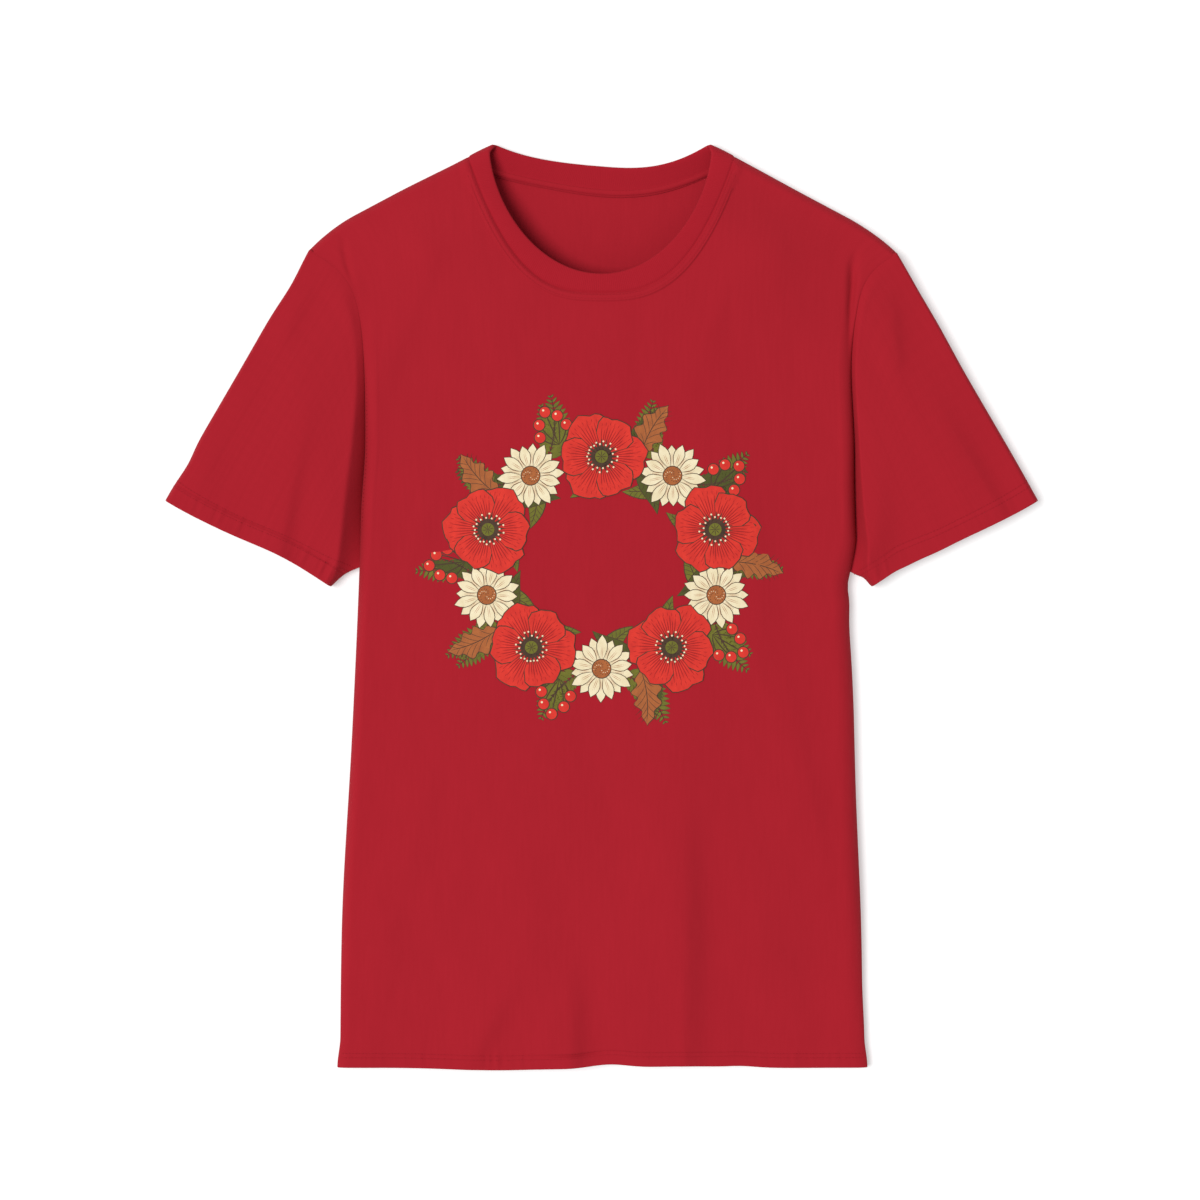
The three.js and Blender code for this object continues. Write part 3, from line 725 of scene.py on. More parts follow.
def jersey_material():
    """Single jersey in dyed cotton: fine knit relief, streaks along the wales, a soft uneven
    nap."""
    nodes = Nodes("jersey")
    streaks = nodes.noise(420, 38, 4)
    clouds = nodes.noise(70, 26, 3)
    fuzz = nodes.noise(2600, 2100, 2, 0.7)
    height = nodes.plus(knit_height(nodes, WALE, COURSE), nodes.times(fuzz, 0.5))
    height = nodes.plus(height, nodes.times(streaks, 0.9))
    tone = nodes.plus(nodes.times(streaks, 0.55), nodes.times(clouds, 0.45))
    tone = nodes.plus(tone, nodes.times(nodes.math("SUBTRACT", fuzz, 0.5), 0.5))
    share = nodes.math("MULTIPLY_ADD", tone, 1.9, -0.45)
    nodes.bump(height, 0.00012, 0.55)
    colour = nodes.blend(share, JERSEY_DEEP, JERSEY_RED)
    return nodes.finish(Base_Color=colour, Roughness=0.93, Specular_IOR_Level=0.18, **NAP)


jersey = jersey_material()
front_places = np.meshgrid(panel_columns(FRONT_GAPS[0]), panel_rows(FRONT_GAPS[1]))
front_grid = turned_hem(front_point(*front_places), BODY_HEM)
front = add_jersey("front_panel_cloth", front_grid, "front_panel")


# ---------------------------------------------------------------------------------------------------
# Back panel. The same jersey, cut higher at the neck. It lies flat on the table, and its edges
# come up to the seams. Its hem is turned and sewn with the front's.
BACK_NECK_DROP, BACK_NECK_POWER = 0.0246, 2.0
BACK_NECK_SKEW, SKEW_HALF_WIDTH = 0.0022, 0.0858
UNDERARM_FOLD = 0.009
REST = 0.00015
SLACK, SLACK_WAVES, SLACK_SLANT, SLACK_RUN = 0.0004, ((0.11, 1), (0.071, 0.7)), 0.4, 0.03
BACK_HEM_DENT = 0.00025


def neck_skew(x):
    """How far the back of the neck lies askew: one wave of a sine, up on the wearer's right."""
    return -BACK_NECK_SKEW * np.sin(np.pi * np.clip(x / SKEW_HALF_WIDTH, -1, 1))


def back_top(x):
    """The back's top edge."""
    return top_edge(x, BACK_NECK_DROP, BACK_NECK_POWER) + neck_skew(x)


def back_edge_height(edge_y):
    """Height of the back's side edge: up at the side seam, and flat under the sleeve."""
    return SIDE_SEAM_HEIGHT * (1 - roll(edge_y - UNDERARM[1], UNDERARM_FOLD))


def back_point(across, up):
    """Outer surface of the back panel: flat on the table and rolled up to its side and shoulder
    seams, with a little slack and the hem's dents."""
    x, y, edge, inward = panel_plan(across, up, back_top)
    at_side = back_edge_height(edge[..., 1]) * (1 - roll(inward, SIDE_FOLD))
    at_shoulder = SHOULDER_SEAM_HEIGHT * (1 - roll(from_shoulder(x, y), SHOULDER_FOLD))
    slack = SLACK * (1 + uneven(x + SLACK_SLANT * y, *SLACK_WAVES)) * ease(inward, SLACK_RUN)
    dents = -sewn(y - HEM_Y - hem_wave(x), HEM_ROWS, BACK_HEM_DENT, DENT_WIDTH)
    return drift(np.stack([x, y, REST + np.maximum(at_side, at_shoulder) + slack + dents], -1))


back_places = np.meshgrid(-panel_columns(BACK_GAPS[0]), panel_rows(BACK_GAPS[1]))
back_grid = turned_hem(back_point(*back_places), BODY_HEM)
back = add_jersey("back_panel_cloth", back_grid, "back_panel")


# ---------------------------------------------------------------------------------------------------
# Sleeves. Each is one cut piece of jersey, closed under the arm and set into the armhole. It lies
# as a flattened tube with a fold along its top and a shorter one under the arm. Its hem is turned
# inwards.
HANDS = {"left": 1, "right": -1}
SLEEVE_TOP = np.array([SHOULDER_END, (0.2730, 0.2085), (0.3135, 0.139), (0.3449, 0.0853)])
SLEEVE_UNDER = np.array([UNDERARM, (0.203, 0.0245), (0.2137, 0.015)])
CUFF = np.array([(0.3449, 0.0853), (0.300, 0.060), (0.252, 0.0385), (0.2137, 0.015)])
CUFF_WAY = (0.9, 0.43)
SLEEVE_LIFT, SLEEVE_TOP_LIFT, CUFF_LIFT = 0.0205, 0.0170, 0.0165
TOP_LIFT_RUN, CUFF_LIFT_START, CUFF_LIFT_RUN = 0.4, 0.4, 0.6
CREASE_WIDTHS = np.array([
    (0.0340, 0.0240), (0.0340, 0.0190), (0.0310, 0.0140), (0.0290, 0.0095), (0.0200, 0.0090),
    (0.0140, 0.0085), (0.0130, 0.0080), (0.0140, 0.0100),
])
CREASE_BEND = 0.25
ARMHOLE_TUCK = 0.0015
SLEEVE_HEM = 0.0142
SLEEVE_HEM_ROWS = (0.0142, 0.0109)
SHORTEST_SHARE = 0.62
NEAR_CUFF = 0.94
SLEEVE_GAPS = (0, 0.25, 1), (0.010, 0.020, 0.020)
SLEEVE_COLUMNS = 221
# By side: the depth of the dent, the height of the hem's step and the height of its puckers.
SLEEVE_HEM_RELIEF = {1: (0.00012, 0.00025, 0.00040), -1: (0.00090, 0.00045, 0.00090)}
SLEEVE_STEP_START = 0.0135
SLEEVE_PUCKER_WAVES = ((0.0067, 1), (0.0103, 0.8), (0.0043, 0.5))
SLEEVE_PUCKER_SWELL = ((0.061, 1), (0.037, 1))
SLEEVE_PUCKER_UP, SLEEVE_MOST_PUCKERED = (0.009, 0.008), (1.5, -0.255, 0.030)
SLEEVE_SWELL_STRETCH, SLEEVE_SWELL_SHIFT, SLEEVE_SWELL_RUN = 1.3, 0.2, 0.05
UNDER_SLACK, EVEN_SLACK = 0.0003, 1.4
SLEEVE_PLEATS = {
    1: (
        ((0.255, 0.170), (0.311, 0.077), 0.0024, 0.0080, 0.026),
        ((0.2200, 0.258), (0.2290, 0.195), 0.0016, 0.0070, 0.014),
        ((0.243, 0.215), (0.282, 0.090), 0.0010, 0.0120, 0.030),
    ),
    -1: (
        ((-0.231, 0.175), (-0.2550, 0.040), 0.0032, 0.0075, 0.022),
        ((-0.228, 0.268), (-0.2500, 0.215), 0.0017, 0.0080, 0.018),
        ((-0.209, 0.285), (-0.2000, 0.225), 0.0012, 0.0050, 0.010),
        ((-0.300, 0.160), (-0.3180, 0.090), 0.0010, 0.0120, 0.025),
    ),
}

cuff_line = spline(CUFF, np.linspace(0, 1, 121))


def sleeve_plan(down, out):
    """Plan of the sleeve between its four lines: armhole, cuff, top fold and underarm fold. down
    runs from 0 at the top fold to 1 at the underarm, out from 0 at the armhole to 1 at the cuff; it
    is the sum of the two straight blends between facing lines, less the blend of the four
    corners."""
    armhole, cuff = spline(SIDE, mix(1.0, UNDERARM_SHARE, down)), spline(CUFF, down)
    over, under = spline(SLEEVE_TOP, out), spline(SLEEVE_UNDER, out)
    down, out = np.asarray(down)[..., None], np.asarray(out)[..., None]
    start = mix(SHOULDER_END, UNDERARM, down)
    end = mix(CUFF[0], CUFF[-1], down)
    return mix(armhole, cuff, out) + mix(over, under, down) - mix(start, end, out), armhole


def into_crease(distance, width):
    """Share of the sleeve's fall into the crease: level from the crease's width on, then a parabola
    over the first part of the width and an even slope over the rest, down to 1 in the crease."""
    near_it = 1 - np.clip(distance / width, 0, 1)
    bent = near_it**2 / (2 * CREASE_BEND)
    return np.where(near_it < CREASE_BEND, bent, near_it - CREASE_BEND / 2) / (1 - CREASE_BEND / 2)


def half_turn(turn):
    """Share of the way down from the top fold to the underarm fold: (1 - cos turn) / 2."""
    return (1 - np.cos(turn)) / 2


def sleeve_point(hand, turn, out):
    """Outer surface of the sleeve. turn runs once round it from the top fold through the under
    layer (below pi) and the underarm back over the upper layer. The folds are quarter ellipses, and
    the upper layer rises from the crease of the armhole to its crest. hand is 1 for the wearer's
    left and -1 for the right."""
    down = half_turn(turn)
    plan, armhole = sleeve_plan(down, out)
    width = np.linalg.norm(spline(SLEEVE_TOP, out) - spline(SLEEVE_UNDER, out), axis=-1)
    folds = roll(down * width, SHOULDER_FOLD) * roll((1 - down) * width, UNDERARM_FOLD)
    seam = mix(SHOULDER_SEAM_HEIGHT, SIDE_SEAM_HEIGHT, down)
    outward = np.linalg.norm(plan - armhole, axis=-1)
    lift = mix(SLEEVE_TOP_LIFT, SLEEVE_LIFT, ease(down, TOP_LIFT_RUN))
    lift = mix(lift, CUFF_LIFT, ease(out - CUFF_LIFT_START, CUFF_LIFT_RUN))
    x, y = hand * plan[..., 0], plan[..., 1]
    pleats = sum(pleat(x, y, *p) for p in SLEEVE_PLEATS[hand])
    to_cuff = distance_to(plan[..., 0], y, cuff_line)
    dent, step, loose = SLEEVE_HEM_RELIEF[hand]
    sewn_hem = step * (1 - ease(to_cuff - SLEEVE_STEP_START, HEM_RISE_REACH))
    sewn_hem = sewn(to_cuff, SLEEVE_HEM_ROWS[:1], dent, DENT_WIDTH) + sewn_hem
    along = plan[..., 0] * CUFF_WAY[0] + y * CUFF_WAY[1]
    pull = uneven(along, *SLEEVE_PUCKER_WAVES) * uneven(along, *SLEEVE_PUCKER_SWELL)
    more, place, stretch = SLEEVE_MOST_PUCKERED
    puckers = loose * (1 + more * bell(x - place, stretch)) * pull
    puckers = puckers * bell(to_cuff - SLEEVE_PUCKER_UP[0], SLEEVE_PUCKER_UP[1])
    waves = swell(x * SLEEVE_SWELL_STRETCH + SLEEVE_SWELL_SHIFT, y)
    crest = lift + pleats + waves * ease(outward, SLEEVE_SWELL_RUN)
    widths = spline(CREASE_WIDTHS, up_armhole(armhole[..., 1]))
    fall = into_crease(outward, widths[..., 0 if hand < 0 else 1])
    rise = mix(crest, edge_height(armhole[..., 1], hand), fall)
    upper = seam + (rise + sewn_hem + puckers - seam) * folds
    under = REST + seam * (1 - folds) + UNDER_SLACK * (EVEN_SLACK + pull) * folds
    return drift(np.stack([x, y, np.where(np.sin(turn) > 0, under, upper)], -1))


def cuff_reach(turn):
    """The sleeve's length at each turn, judged from how far short of the cuff a point near it
    falls."""
    down = half_turn(turn)
    plan, _ = sleeve_plan(down, np.full_like(down, NEAR_CUFF))
    return distance_to(plan[:, 0], plan[:, 1], cuff_line) / (1 - NEAR_CUFF)


def sleeve_rows(turn):
    """How far out each row of the sleeve lies, column by column: even from the armhole to the hem,
    then at fixed distances from the cuff. A column's distances are scaled by how fast it nears the
    cuff, and tanh draws them together where the sleeve is short, so that no two rows meet."""
    hem = np.arange(0, SLEEVE_HEM + 0.0035, ROW_GAP)[:, None]
    near_cuff = 1 - SHORTEST_SHARE * np.tanh(hem / cuff_reach(turn) / SHORTEST_SHARE)
    inner = graded(1.0, *SLEEVE_GAPS)[:-1]
    return np.concatenate([near_cuff, near_cuff[-1] * inner[::-1, None]])


def sleeve_grid(hand):
    """The sleeve's grid starts at its cuff, so that its hem can be turned in, and runs back to the
    armhole, where its edge is tucked in under the body's. Its last column repeats the first, which
    closes the tube."""
    turn = np.linspace(0, 2 * np.pi, SLEEVE_COLUMNS)
    out = sleeve_rows(turn)
    grid = sleeve_point(hand, np.broadcast_to(turn, out.shape), out)[:, ::hand]
    grid = turned_hem(grid, SLEEVE_HEM, closed=True)
    onward = ARMHOLE_TUCK * unit(grid[-1] - grid[-2])
    tucked = grid[-1] + onward - CLOTH * normals_of(grid, closed=True)[-1]
    return np.concatenate([grid, tucked[None]])


for side, hand in HANDS.items():
    sleeve = add_jersey(f"{side}_sleeve_cloth", sleeve_grid(hand), f"{side}_sleeve")


# ---------------------------------------------------------------------------------------------------
# Neckband. A strip of 1x1 rib folded double along its free edge. Its two raw edges are sewn to the
# neckline and turned outwards under the body's cloth, so that the seam lies in a groove.
TIP_HALF_WIDTH, FREE_HALF_WIDTHS = 0.0858, (0.0895, 0.0880)
TIP_DROP, TIP_DROP_WIDTH = 0.0010, 0.16
FREE_FRONT_DROP, FREE_FRONT_POWER = 0.1043, 1.12
FREE_BACK_DROP, FREE_BACK_POWER = 0.0181, 2.7
FREE_EDGE_RISE, BACK_BAND_TILT = 0.0003, 0.0042
BAND_SLANT = 0.10
SHOULDER_TURN, SEAM_STEP, TIP_RUN = 0.12, 0.02, 0.08
BAND_WIDTH, BAND_DEPTH, BAND_PUFF = 0.0175, 0.0020, 0.00030
BAND_ROWS = np.array([0.0006, 0.0014, 0.0026, 0.0050, 0.0080, 0.0110, 0.0135]) / BAND_WIDTH
SEAM_SINK, SEAM_SINK_WIDTH = 0.0010, 0.0009
RIB_CLOTH = 0.0006
BAND_FOLD_TURNS = np.linspace(0, np.pi, 7)
INNER_LAYER = 2.1 * RIB_CLOTH
RIBS, COLUMNS_TO_A_RIB = 348, 4
RIB_DEPTH = 0.00011
TURNED_UNDER, SHOULDER_TRIM, TRIM_RUN = (0.0048, 0.00288, 0.0012, 0.0003), 0.15, 0.25
TUCKED = CLOTH + 0.0001
RIB_SHARES = [0, 0, 0.2, 0.5] + [1] * 8 + [0.9, 0.8, 0.7, 0.8, 0.9] + [1] * 5 + [0.4, 0.1, 0, 0]
RIB_RED, RIB_DEEP = (0.341, 0.0091, 0.0188, 1.0), (0.314, 0.0077, 0.0162, 1.0)


def over_front(angle):
    """1 on the front of the neck and 0 on its back, with a soft turn at each shoulder."""
    rise = np.sin(angle)
    return 0.5 + 0.5 * rise / np.hypot(rise, SHOULDER_TURN)


def outside(angle):
    """Outward direction of the cloth round the neck: up on the front, away from the shoulder seam
    at the shoulders and down on the back."""
    up = 2 * over_front(angle) - 1
    level = np.sqrt(1 - up * up)
    away = np.sign(np.cos(angle)) * SHOULDER_NORMAL[0]
    return np.stack([away * level, SHOULDER_NORMAL[1] * level, up], -1)


def near_neck(x, y, over):
    """A point of the body's outer surface beside the neck, on the front where over is 1."""
    on_front = front_at(x, y)
    on_back = mix(SHOULDER_SEAM_HEIGHT, REST + SLACK, roll(from_shoulder(x, y), SHOULDER_FOLD))
    return np.stack([x, y, np.where(over > 0.5, on_front, on_back)], -1)


def neck_seam(angle):
    """The neck seam in plan, from the wearer's left shoulder over the front and the back."""
    x = NECK_HALF_WIDTH * np.cos(angle)
    return np.stack([x, np.where(np.sin(angle) > 0, front_top(x), back_top(x))], -1)


def beside_seam(angle, distance=0.0):
    """A point of the body's outer surface at a distance outside the neck seam, square to the
    seam."""
    turn = neck_seam(angle + SEAM_STEP) - neck_seam(angle - SEAM_STEP)
    away = unit(np.stack([-turn[..., 1], turn[..., 0]], -1))
    away *= -np.sign(away[..., 1:])
    plan = neck_seam(angle) + away * np.asarray(distance)[..., None]
    return near_neck(plan[..., 0], plan[..., 1], over_front(angle))


def free_edge(angle):
    """The neckband's free edge: x = half width * cos(angle), where the front's half width swings
    out a little below the two tips, and a drop of sin^1.12 on the front and 1 - |cos|^2.7 on the
    back. Its height turns over softly at the shoulders. On the front it rises from the seam's
    height towards the chest's full height by the band's slant."""
    rise = np.sin(angle)
    front = FREE_FRONT_DROP * np.maximum(rise, 0) ** FREE_FRONT_POWER
    behind = FREE_BACK_DROP * (1 - np.abs(np.cos(angle)) ** FREE_BACK_POWER)
    drop = np.where(rise > 0, front, behind) + TIP_DROP * bell(rise, TIP_DROP_WIDTH)
    full = front_crest(np.array(0.0), front_top(0.0))
    seam = neck_seam(angle)
    beside = front_crest(seam[..., 0], np.minimum(seam[..., 1], front_top(seam[..., 0])))
    height = mix(BACK_BAND_TILT, mix(beside, full, BAND_SLANT) + FREE_EDGE_RISE, over_front(angle))
    half_width = either_side(np.cos(angle), FREE_HALF_WIDTHS)
    x = mix(TIP_HALF_WIDTH, half_width, ease(rise, TIP_RUN)) * np.cos(angle)
    return np.stack([x, COLLAR_Y - drop + np.where(rise < 0, neck_skew(x), 0), height], -1)


def band_section(angle):
    """The band's rows: from the outer layer's raw edge under the body's cloth, over the band, round
    the half circle of its free edge, and back along the inner layer to its raw edge. The raw edges
    are trimmed narrower at the shoulders, so that they stay inside the shoulder's fold."""
    out, seam, free = outside(angle), beside_seam(angle), free_edge(angle)
    fold = 0.5 * BAND_DEPTH
    trim = mix(SHOULDER_TRIM, 1.0, ease(np.abs(np.sin(angle)), TRIM_RUN))
    width = np.linalg.norm(free - seam, axis=-1)[:, None]
    end = 1 - fold / width
    puff = BAND_PUFF * np.sin(np.pi * BAND_ROWS)
    puff -= SEAM_SINK * bell(BAND_ROWS * BAND_WIDTH, SEAM_SINK_WIDTH)

    def row(across, depth):
        """A row at a share across from the seam to the free edge, that deep under the outside."""
        return mix(seam, free, across) - out * depth

    rows = [beside_seam(angle, trim * d) - out * TUCKED for d in TURNED_UNDER]
    rows += [row(a * end, -p) for a, p in zip(BAND_ROWS, puff)]
    rows += [row(end + fold * np.sin(t) / width, fold * (1 - np.cos(t))) for t in BAND_FOLD_TURNS]
    rows += [row(a * end, BAND_DEPTH) for a in BAND_ROWS[::-2]]
    rows += [beside_seam(angle, trim * d) - out * (TUCKED + INNER_LAYER) for d in TURNED_UNDER[::-1]]
    return np.stack(rows)


def ribbed(grid, shares):
    """Presses 1x1 ribs into a grid: a cosine round the neck, along the normal, times each row's
    share."""
    turn = np.arange(grid.shape[1]) * 2 * np.pi / COLUMNS_TO_A_RIB
    rib = RIB_DEPTH * np.array(shares)[:, None] * np.cos(turn)
    return grid + normals_of(grid, closed=True) * rib[..., None]


def rib_material():
    """Rib knit in the same dyed cotton: denser and a little duller, with painted shade between its
    ribs.
    """
    nodes = Nodes("rib_knit")
    streaks = nodes.noise(260, 60, 3)
    fuzz = nodes.noise(2400, 2400, 2, 0.7)
    _, across, _ = nodes.place(1, 1)
    wave = nodes.math("COSINE", nodes.times(across, 2 * np.pi * RIBS / NECK_LENGTH))
    rib = nodes.math("MULTIPLY_ADD", wave, 0.5, 0.5)
    height = nodes.plus(knit_height(nodes, NECK_LENGTH / RIBS / 2, COURSE), nodes.times(fuzz, 0.5))
    # The rib wave in the colour is painted shade: the hollows between the ribs are darkened.
    tone = nodes.plus(nodes.times(streaks, 0.7), nodes.times(rib, 0.35))
    nodes.bump(height, 0.00012, 0.5)
    colour = nodes.blend(nodes.plus(tone, 0.15), RIB_DEEP, RIB_RED)
    return nodes.finish(Base_Color=colour, Roughness=0.94, Specular_IOR_Level=0.15, **NAP)


fine_angles = np.linspace(0, 2 * np.pi, 2401)
along_neck = lengths_along(neck_seam(fine_angles))
NECK_LENGTH = along_neck[-1]
neck_places = np.linspace(0, NECK_LENGTH, RIBS * COLUMNS_TO_A_RIB + 1)
neck_angles = np.interp(neck_places, along_neck, fine_angles)

band_grid = ribbed(band_section(neck_angles), RIB_SHARES)
band_grid[:, -1] = band_grid[:, 0]
down_band = lengths_along(band_grid[:, len(neck_places) // 4])
band_place = np.stack(np.meshgrid(neck_places, down_band), -1)
band = make_piece("neckband_rib", [(band_grid, band_place)], rib_material(), "neckband")
thicken(band, RIB_CLOTH)


# ---------------------------------------------------------------------------------------------------
# Neck tape. A narrow strip of the jersey, its edges folded in, over the back neck seam inside. It
# runs from shoulder to shoulder and is held by a row of stitches along each edge.
TAPE_HALF_LENGTH, TAPE_WIDTH, TAPE_OFFSET = 0.093, 0.0062, 0.0003
TAPE_CLOTH, TAPE_LAYER, TAPE_EDGE, TAPE_EDGE_HEIGHT = 0.0006, 0.00036, 0.0009, 0.35
TAPE_UNDER, TAPE_RISE, TAPE_RISE_RUN = 0.0018, 0.0010, 0.0014
TAPE_STEP, TAPE_STEP_START, TAPE_STEP_RUN = 0.0014, 0.0034, 0.0028


def tape_point(along, across):
    """Upper surface of the tape: it rises over the overlocked edges of the seam, steps down past
    them, and its own edges curl down to the cloth as quarter ellipses. across runs from the seam to
    the lower edge."""
    x = along * TAPE_HALF_LENGTH
    away = TAPE_OFFSET + across * TAPE_WIDTH
    under = TAPE_UNDER + TAPE_RISE * ease(away, TAPE_RISE_RUN)
    under -= TAPE_STEP * ease(away - TAPE_STEP_START, TAPE_STEP_RUN)
    curl = roll(np.minimum(across, 1 - across) * TAPE_WIDTH, TAPE_EDGE)
    height = REST + under + TAPE_CLOTH * mix(TAPE_EDGE_HEIGHT, 1, curl)
    return np.stack([x, back_top(x) - away, height], -1)


tape_grid = tape_point(*np.meshgrid(np.linspace(1, -1, 141), half_turn(np.linspace(0, np.pi, 12))))
tape = add_jersey("neck_tape_cloth", tape_grid, "neck_tape", TAPE_LAYER)


# ---------------------------------------------------------------------------------------------------
# Topstitching. Twin-needle rows in polyester thread the colour of the cloth, round the neckline
# and the hems. Each stitch is a short length of thread that dives into the cloth at its two ends.
STITCH_PITCH, STITCH_SHARE, STITCH_STEP = 0.0026, 0.80, 0.0004
TAPE_ROWS = (0.14, 0.86)
THREAD_WIDE, THREAD_HIGH = 0.00028, 0.00020
THREAD_SUNK, THREAD_PROUD = 0.00010, -0.00005
NECKLINE_ROW_START, TAPE_ROW_END, HEM_ROW_END = 0.30, 0.97, 0.985
THREAD_RED = (0.335, 0.0086, 0.0176, 1.0)
PLY_SLANT, PLY_TURNS = 1.6, 9000


def thread_material():
    """Twisted polyester thread: a little smoother than the cloth, with plies as a fine slanting
    sine."""
    nodes = Nodes("sewing_thread")
    _, across, along = nodes.place(1, 1)
    ply = nodes.times(nodes.plus(nodes.times(along, PLY_SLANT), across), PLY_TURNS)
    nodes.bump(nodes.math("SINE", ply), 0.00005, 0.4)
    colour = nodes.blend(nodes.noise(900, 900, 2), JERSEY_DEEP, THREAD_RED)
    return nodes.finish(Base_Color=colour, Roughness=0.75, Specular_IOR_Level=0.15, **NAP)


sewing_thread = thread_material()


def add_thread(name, grids, node):
    """A piece of sewing thread."""
    make_piece(name, grids, sewing_thread, node)


def along_run(where, run, values):
    """The values of a path's points at those lengths along it."""
    return np.stack([np.interp(where, run, values[:, k]) for k in range(3)], -1)


def stitch_row(path, up, sunk=THREAD_SUNK):
    """Stitches along a path of surface points with their outward directions: each is an ellipsoid,
    long along the path and wide across it. Its middle is sunk into the cloth by that depth, or
    stands proud where the depth is below 0."""
    run = lengths_along(path)
    count = int(run[-1] / STITCH_PITCH)
    places = (np.arange(count) + 0.5) * run[-1] / count
    before, after = (along_run(places + step, run, path) for step in (-STITCH_STEP, STITCH_STEP))
    ahead = unit(after - before)
    out = unit(along_run(places, run, up))
    aside = np.cross(out, ahead)
    centre = along_run(places, run, path) - out * sunk
    tip, turn = np.meshgrid(np.linspace(np.pi, 0, 6), np.linspace(0, 2 * np.pi, 7), indexing="ij")
    long = 0.5 * STITCH_SHARE * STITCH_PITCH * np.cos(tip)
    wide = THREAD_WIDE * np.sin(tip) * np.cos(turn)
    high = THREAD_HIGH * np.sin(tip) * np.sin(turn)
    grid = centre[:, None, None]
    for way, size in ((ahead, long), (aside, wide), (out, high)):
        grid = grid + way[:, None, None] * size[..., None]
    return grid, np.stack([long, wide], -1)


def topstitch(distance):
    """One needle's row at a distance outside the neck seam, on the front from fold to fold."""
    angle = np.linspace(NECKLINE_ROW_START, np.pi - NECKLINE_ROW_START, 500)
    return stitch_row(beside_seam(angle, distance), outside(angle), THREAD_PROUD)


def tape_row(across):
    """A row of stitches along the tape, at a share across it."""
    along = np.linspace(-TAPE_ROW_END, TAPE_ROW_END, 300)
    path = tape_point(along, np.full_like(along, across))
    return stitch_row(path, np.broadcast_to([0.0, 0.0, 1.0], path.shape))


def body_hem_row(height, front):
    """One needle's row round the front's or the back's hem, at a height above the hem's edge."""
    up = side_share(height)
    across = np.linspace(-HEM_ROW_END, HEM_ROW_END, 900)
    panel = front_point if front else back_point
    path = panel(across, np.full_like(across, up))
    beyond = panel(across, np.full_like(across, up + 0.002)) - path
    normal = np.cross(np.gradient(path, axis=0), beyond) * (1 if front else -1)
    return stitch_row(path, normal, THREAD_PROUD if front else THREAD_SUNK)


def sleeve_hem_row(hand, height):
    """One needle's row round a sleeve's hem, at a distance in from the cuff."""
    turn = np.linspace(0, 2 * np.pi, 1200)
    out = 1 - height / cuff_reach(turn)
    path = sleeve_point(hand, turn, out)
    inwards = sleeve_point(hand, turn, out - 0.01) - path
    return stitch_row(path, hand * np.cross(inwards, np.gradient(path, axis=0)))


neckline_rows = [topstitch(row) for row in NECK_ROWS]
body_hem_rows = [body_hem_row(height, front) for height in HEM_ROWS for front in (True, False)]
add_thread("neckline_twin_needle_rows", neckline_rows, "neckline_topstitching")
add_thread("neck_tape_rows", [tape_row(row) for row in TAPE_ROWS], "neck_tape_stitching")
add_thread("body_hem_twin_needle_rows", body_hem_rows, "body_hem_stitching")
for side, hand in HANDS.items():
    rows = [sleeve_hem_row(hand, height) for height in SLEEVE_HEM_ROWS]
    add_thread(f"{side}_sleeve_hem_twin_needle_rows", rows, f"{side}_sleeve_hem_stitching")


# ---------------------------------------------------------------------------------------------------
# Seam threads. Overlock rows inside the shirt hold the cut edges together at the neck, shoulders,
# armholes, sides and underarms. The looping thread wraps the edges, so a row is a flattened helix.
OVERLOCK_PITCH, OVERLOCK_WIDE, OVERLOCK_HIGH = 0.0031, 0.0017, 0.00055
OVERLOCK_RADIUS, OVERLOCK_STEPS = 0.00018, 6
INSIDE_FOLD = 0.003
INSIDE = np.array([INSIDE_FOLD, 0])
UNDER_FRONT, OVER_BACK = CLOTH + 0.0010, 0.0023
NECK_ROW_OUT, NECK_ROW_UNDER = 0.0024, (0.0016, 0.0033)
ARMHOLE_TOP_SHARE, ARMHOLE_SPAN = 0.96, (0.04, 0.96)
ARMHOLE_LENGTH, ARMHOLE_SOFTENED = 0.27, 0.012


def overlock(path, closed=False):
    """Thread round a seam's edges: a helix about the path, wide in plan and low in height, swept
    with a square section whose corners are worked out from the thread's own direction."""
    run = lengths_along(path)
    turns = int(run[-1] / OVERLOCK_PITCH)
    phase = np.linspace(0, turns, turns * OVERLOCK_STEPS + 1)
    centre = along_run(phase / turns * run[-1], run, path)
    ahead = np.gradient(centre, axis=0)
    aside = unit(np.stack([-ahead[:, 1], ahead[:, 0], 0 * ahead[:, 0]], -1))
    angle = (2 * np.pi * phase)[:, None]
    up = np.array([0.0, 0.0, 1.0])
    line = centre + OVERLOCK_WIDE * np.cos(angle) * aside + OVERLOCK_HIGH * np.sin(angle) * up
    if closed:
        line[-1] = line[0]
    course = unit(np.gradient(line, axis=0))
    first = np.cos(angle) * aside + np.sin(angle) * up
    first = unit(first - course * (first * course).sum(-1, keepdims=True))
    second = np.cross(course, first)
    if closed:
        first[-1], second[-1] = first[0], second[0]
    corner = np.linspace(0, 2 * np.pi, 5)
    round_it = first[:, None] * np.cos(corner)[:, None] + second[:, None] * np.sin(corner)[:, None]
    radius = np.full(len(line), OVERLOCK_RADIUS)
    if not closed:
        radius[[0, -1]] = 0
    grid = line[:, None] + round_it * radius[:, None, None]
    return grid, np.stack(np.meshgrid(corner * 0.0001, phase * OVERLOCK_PITCH), -1)


def lifted(plan, height):
    """Points in plan with a height."""
    return np.concatenate([plan, np.broadcast_to(height, (len(plan), 1))], -1)


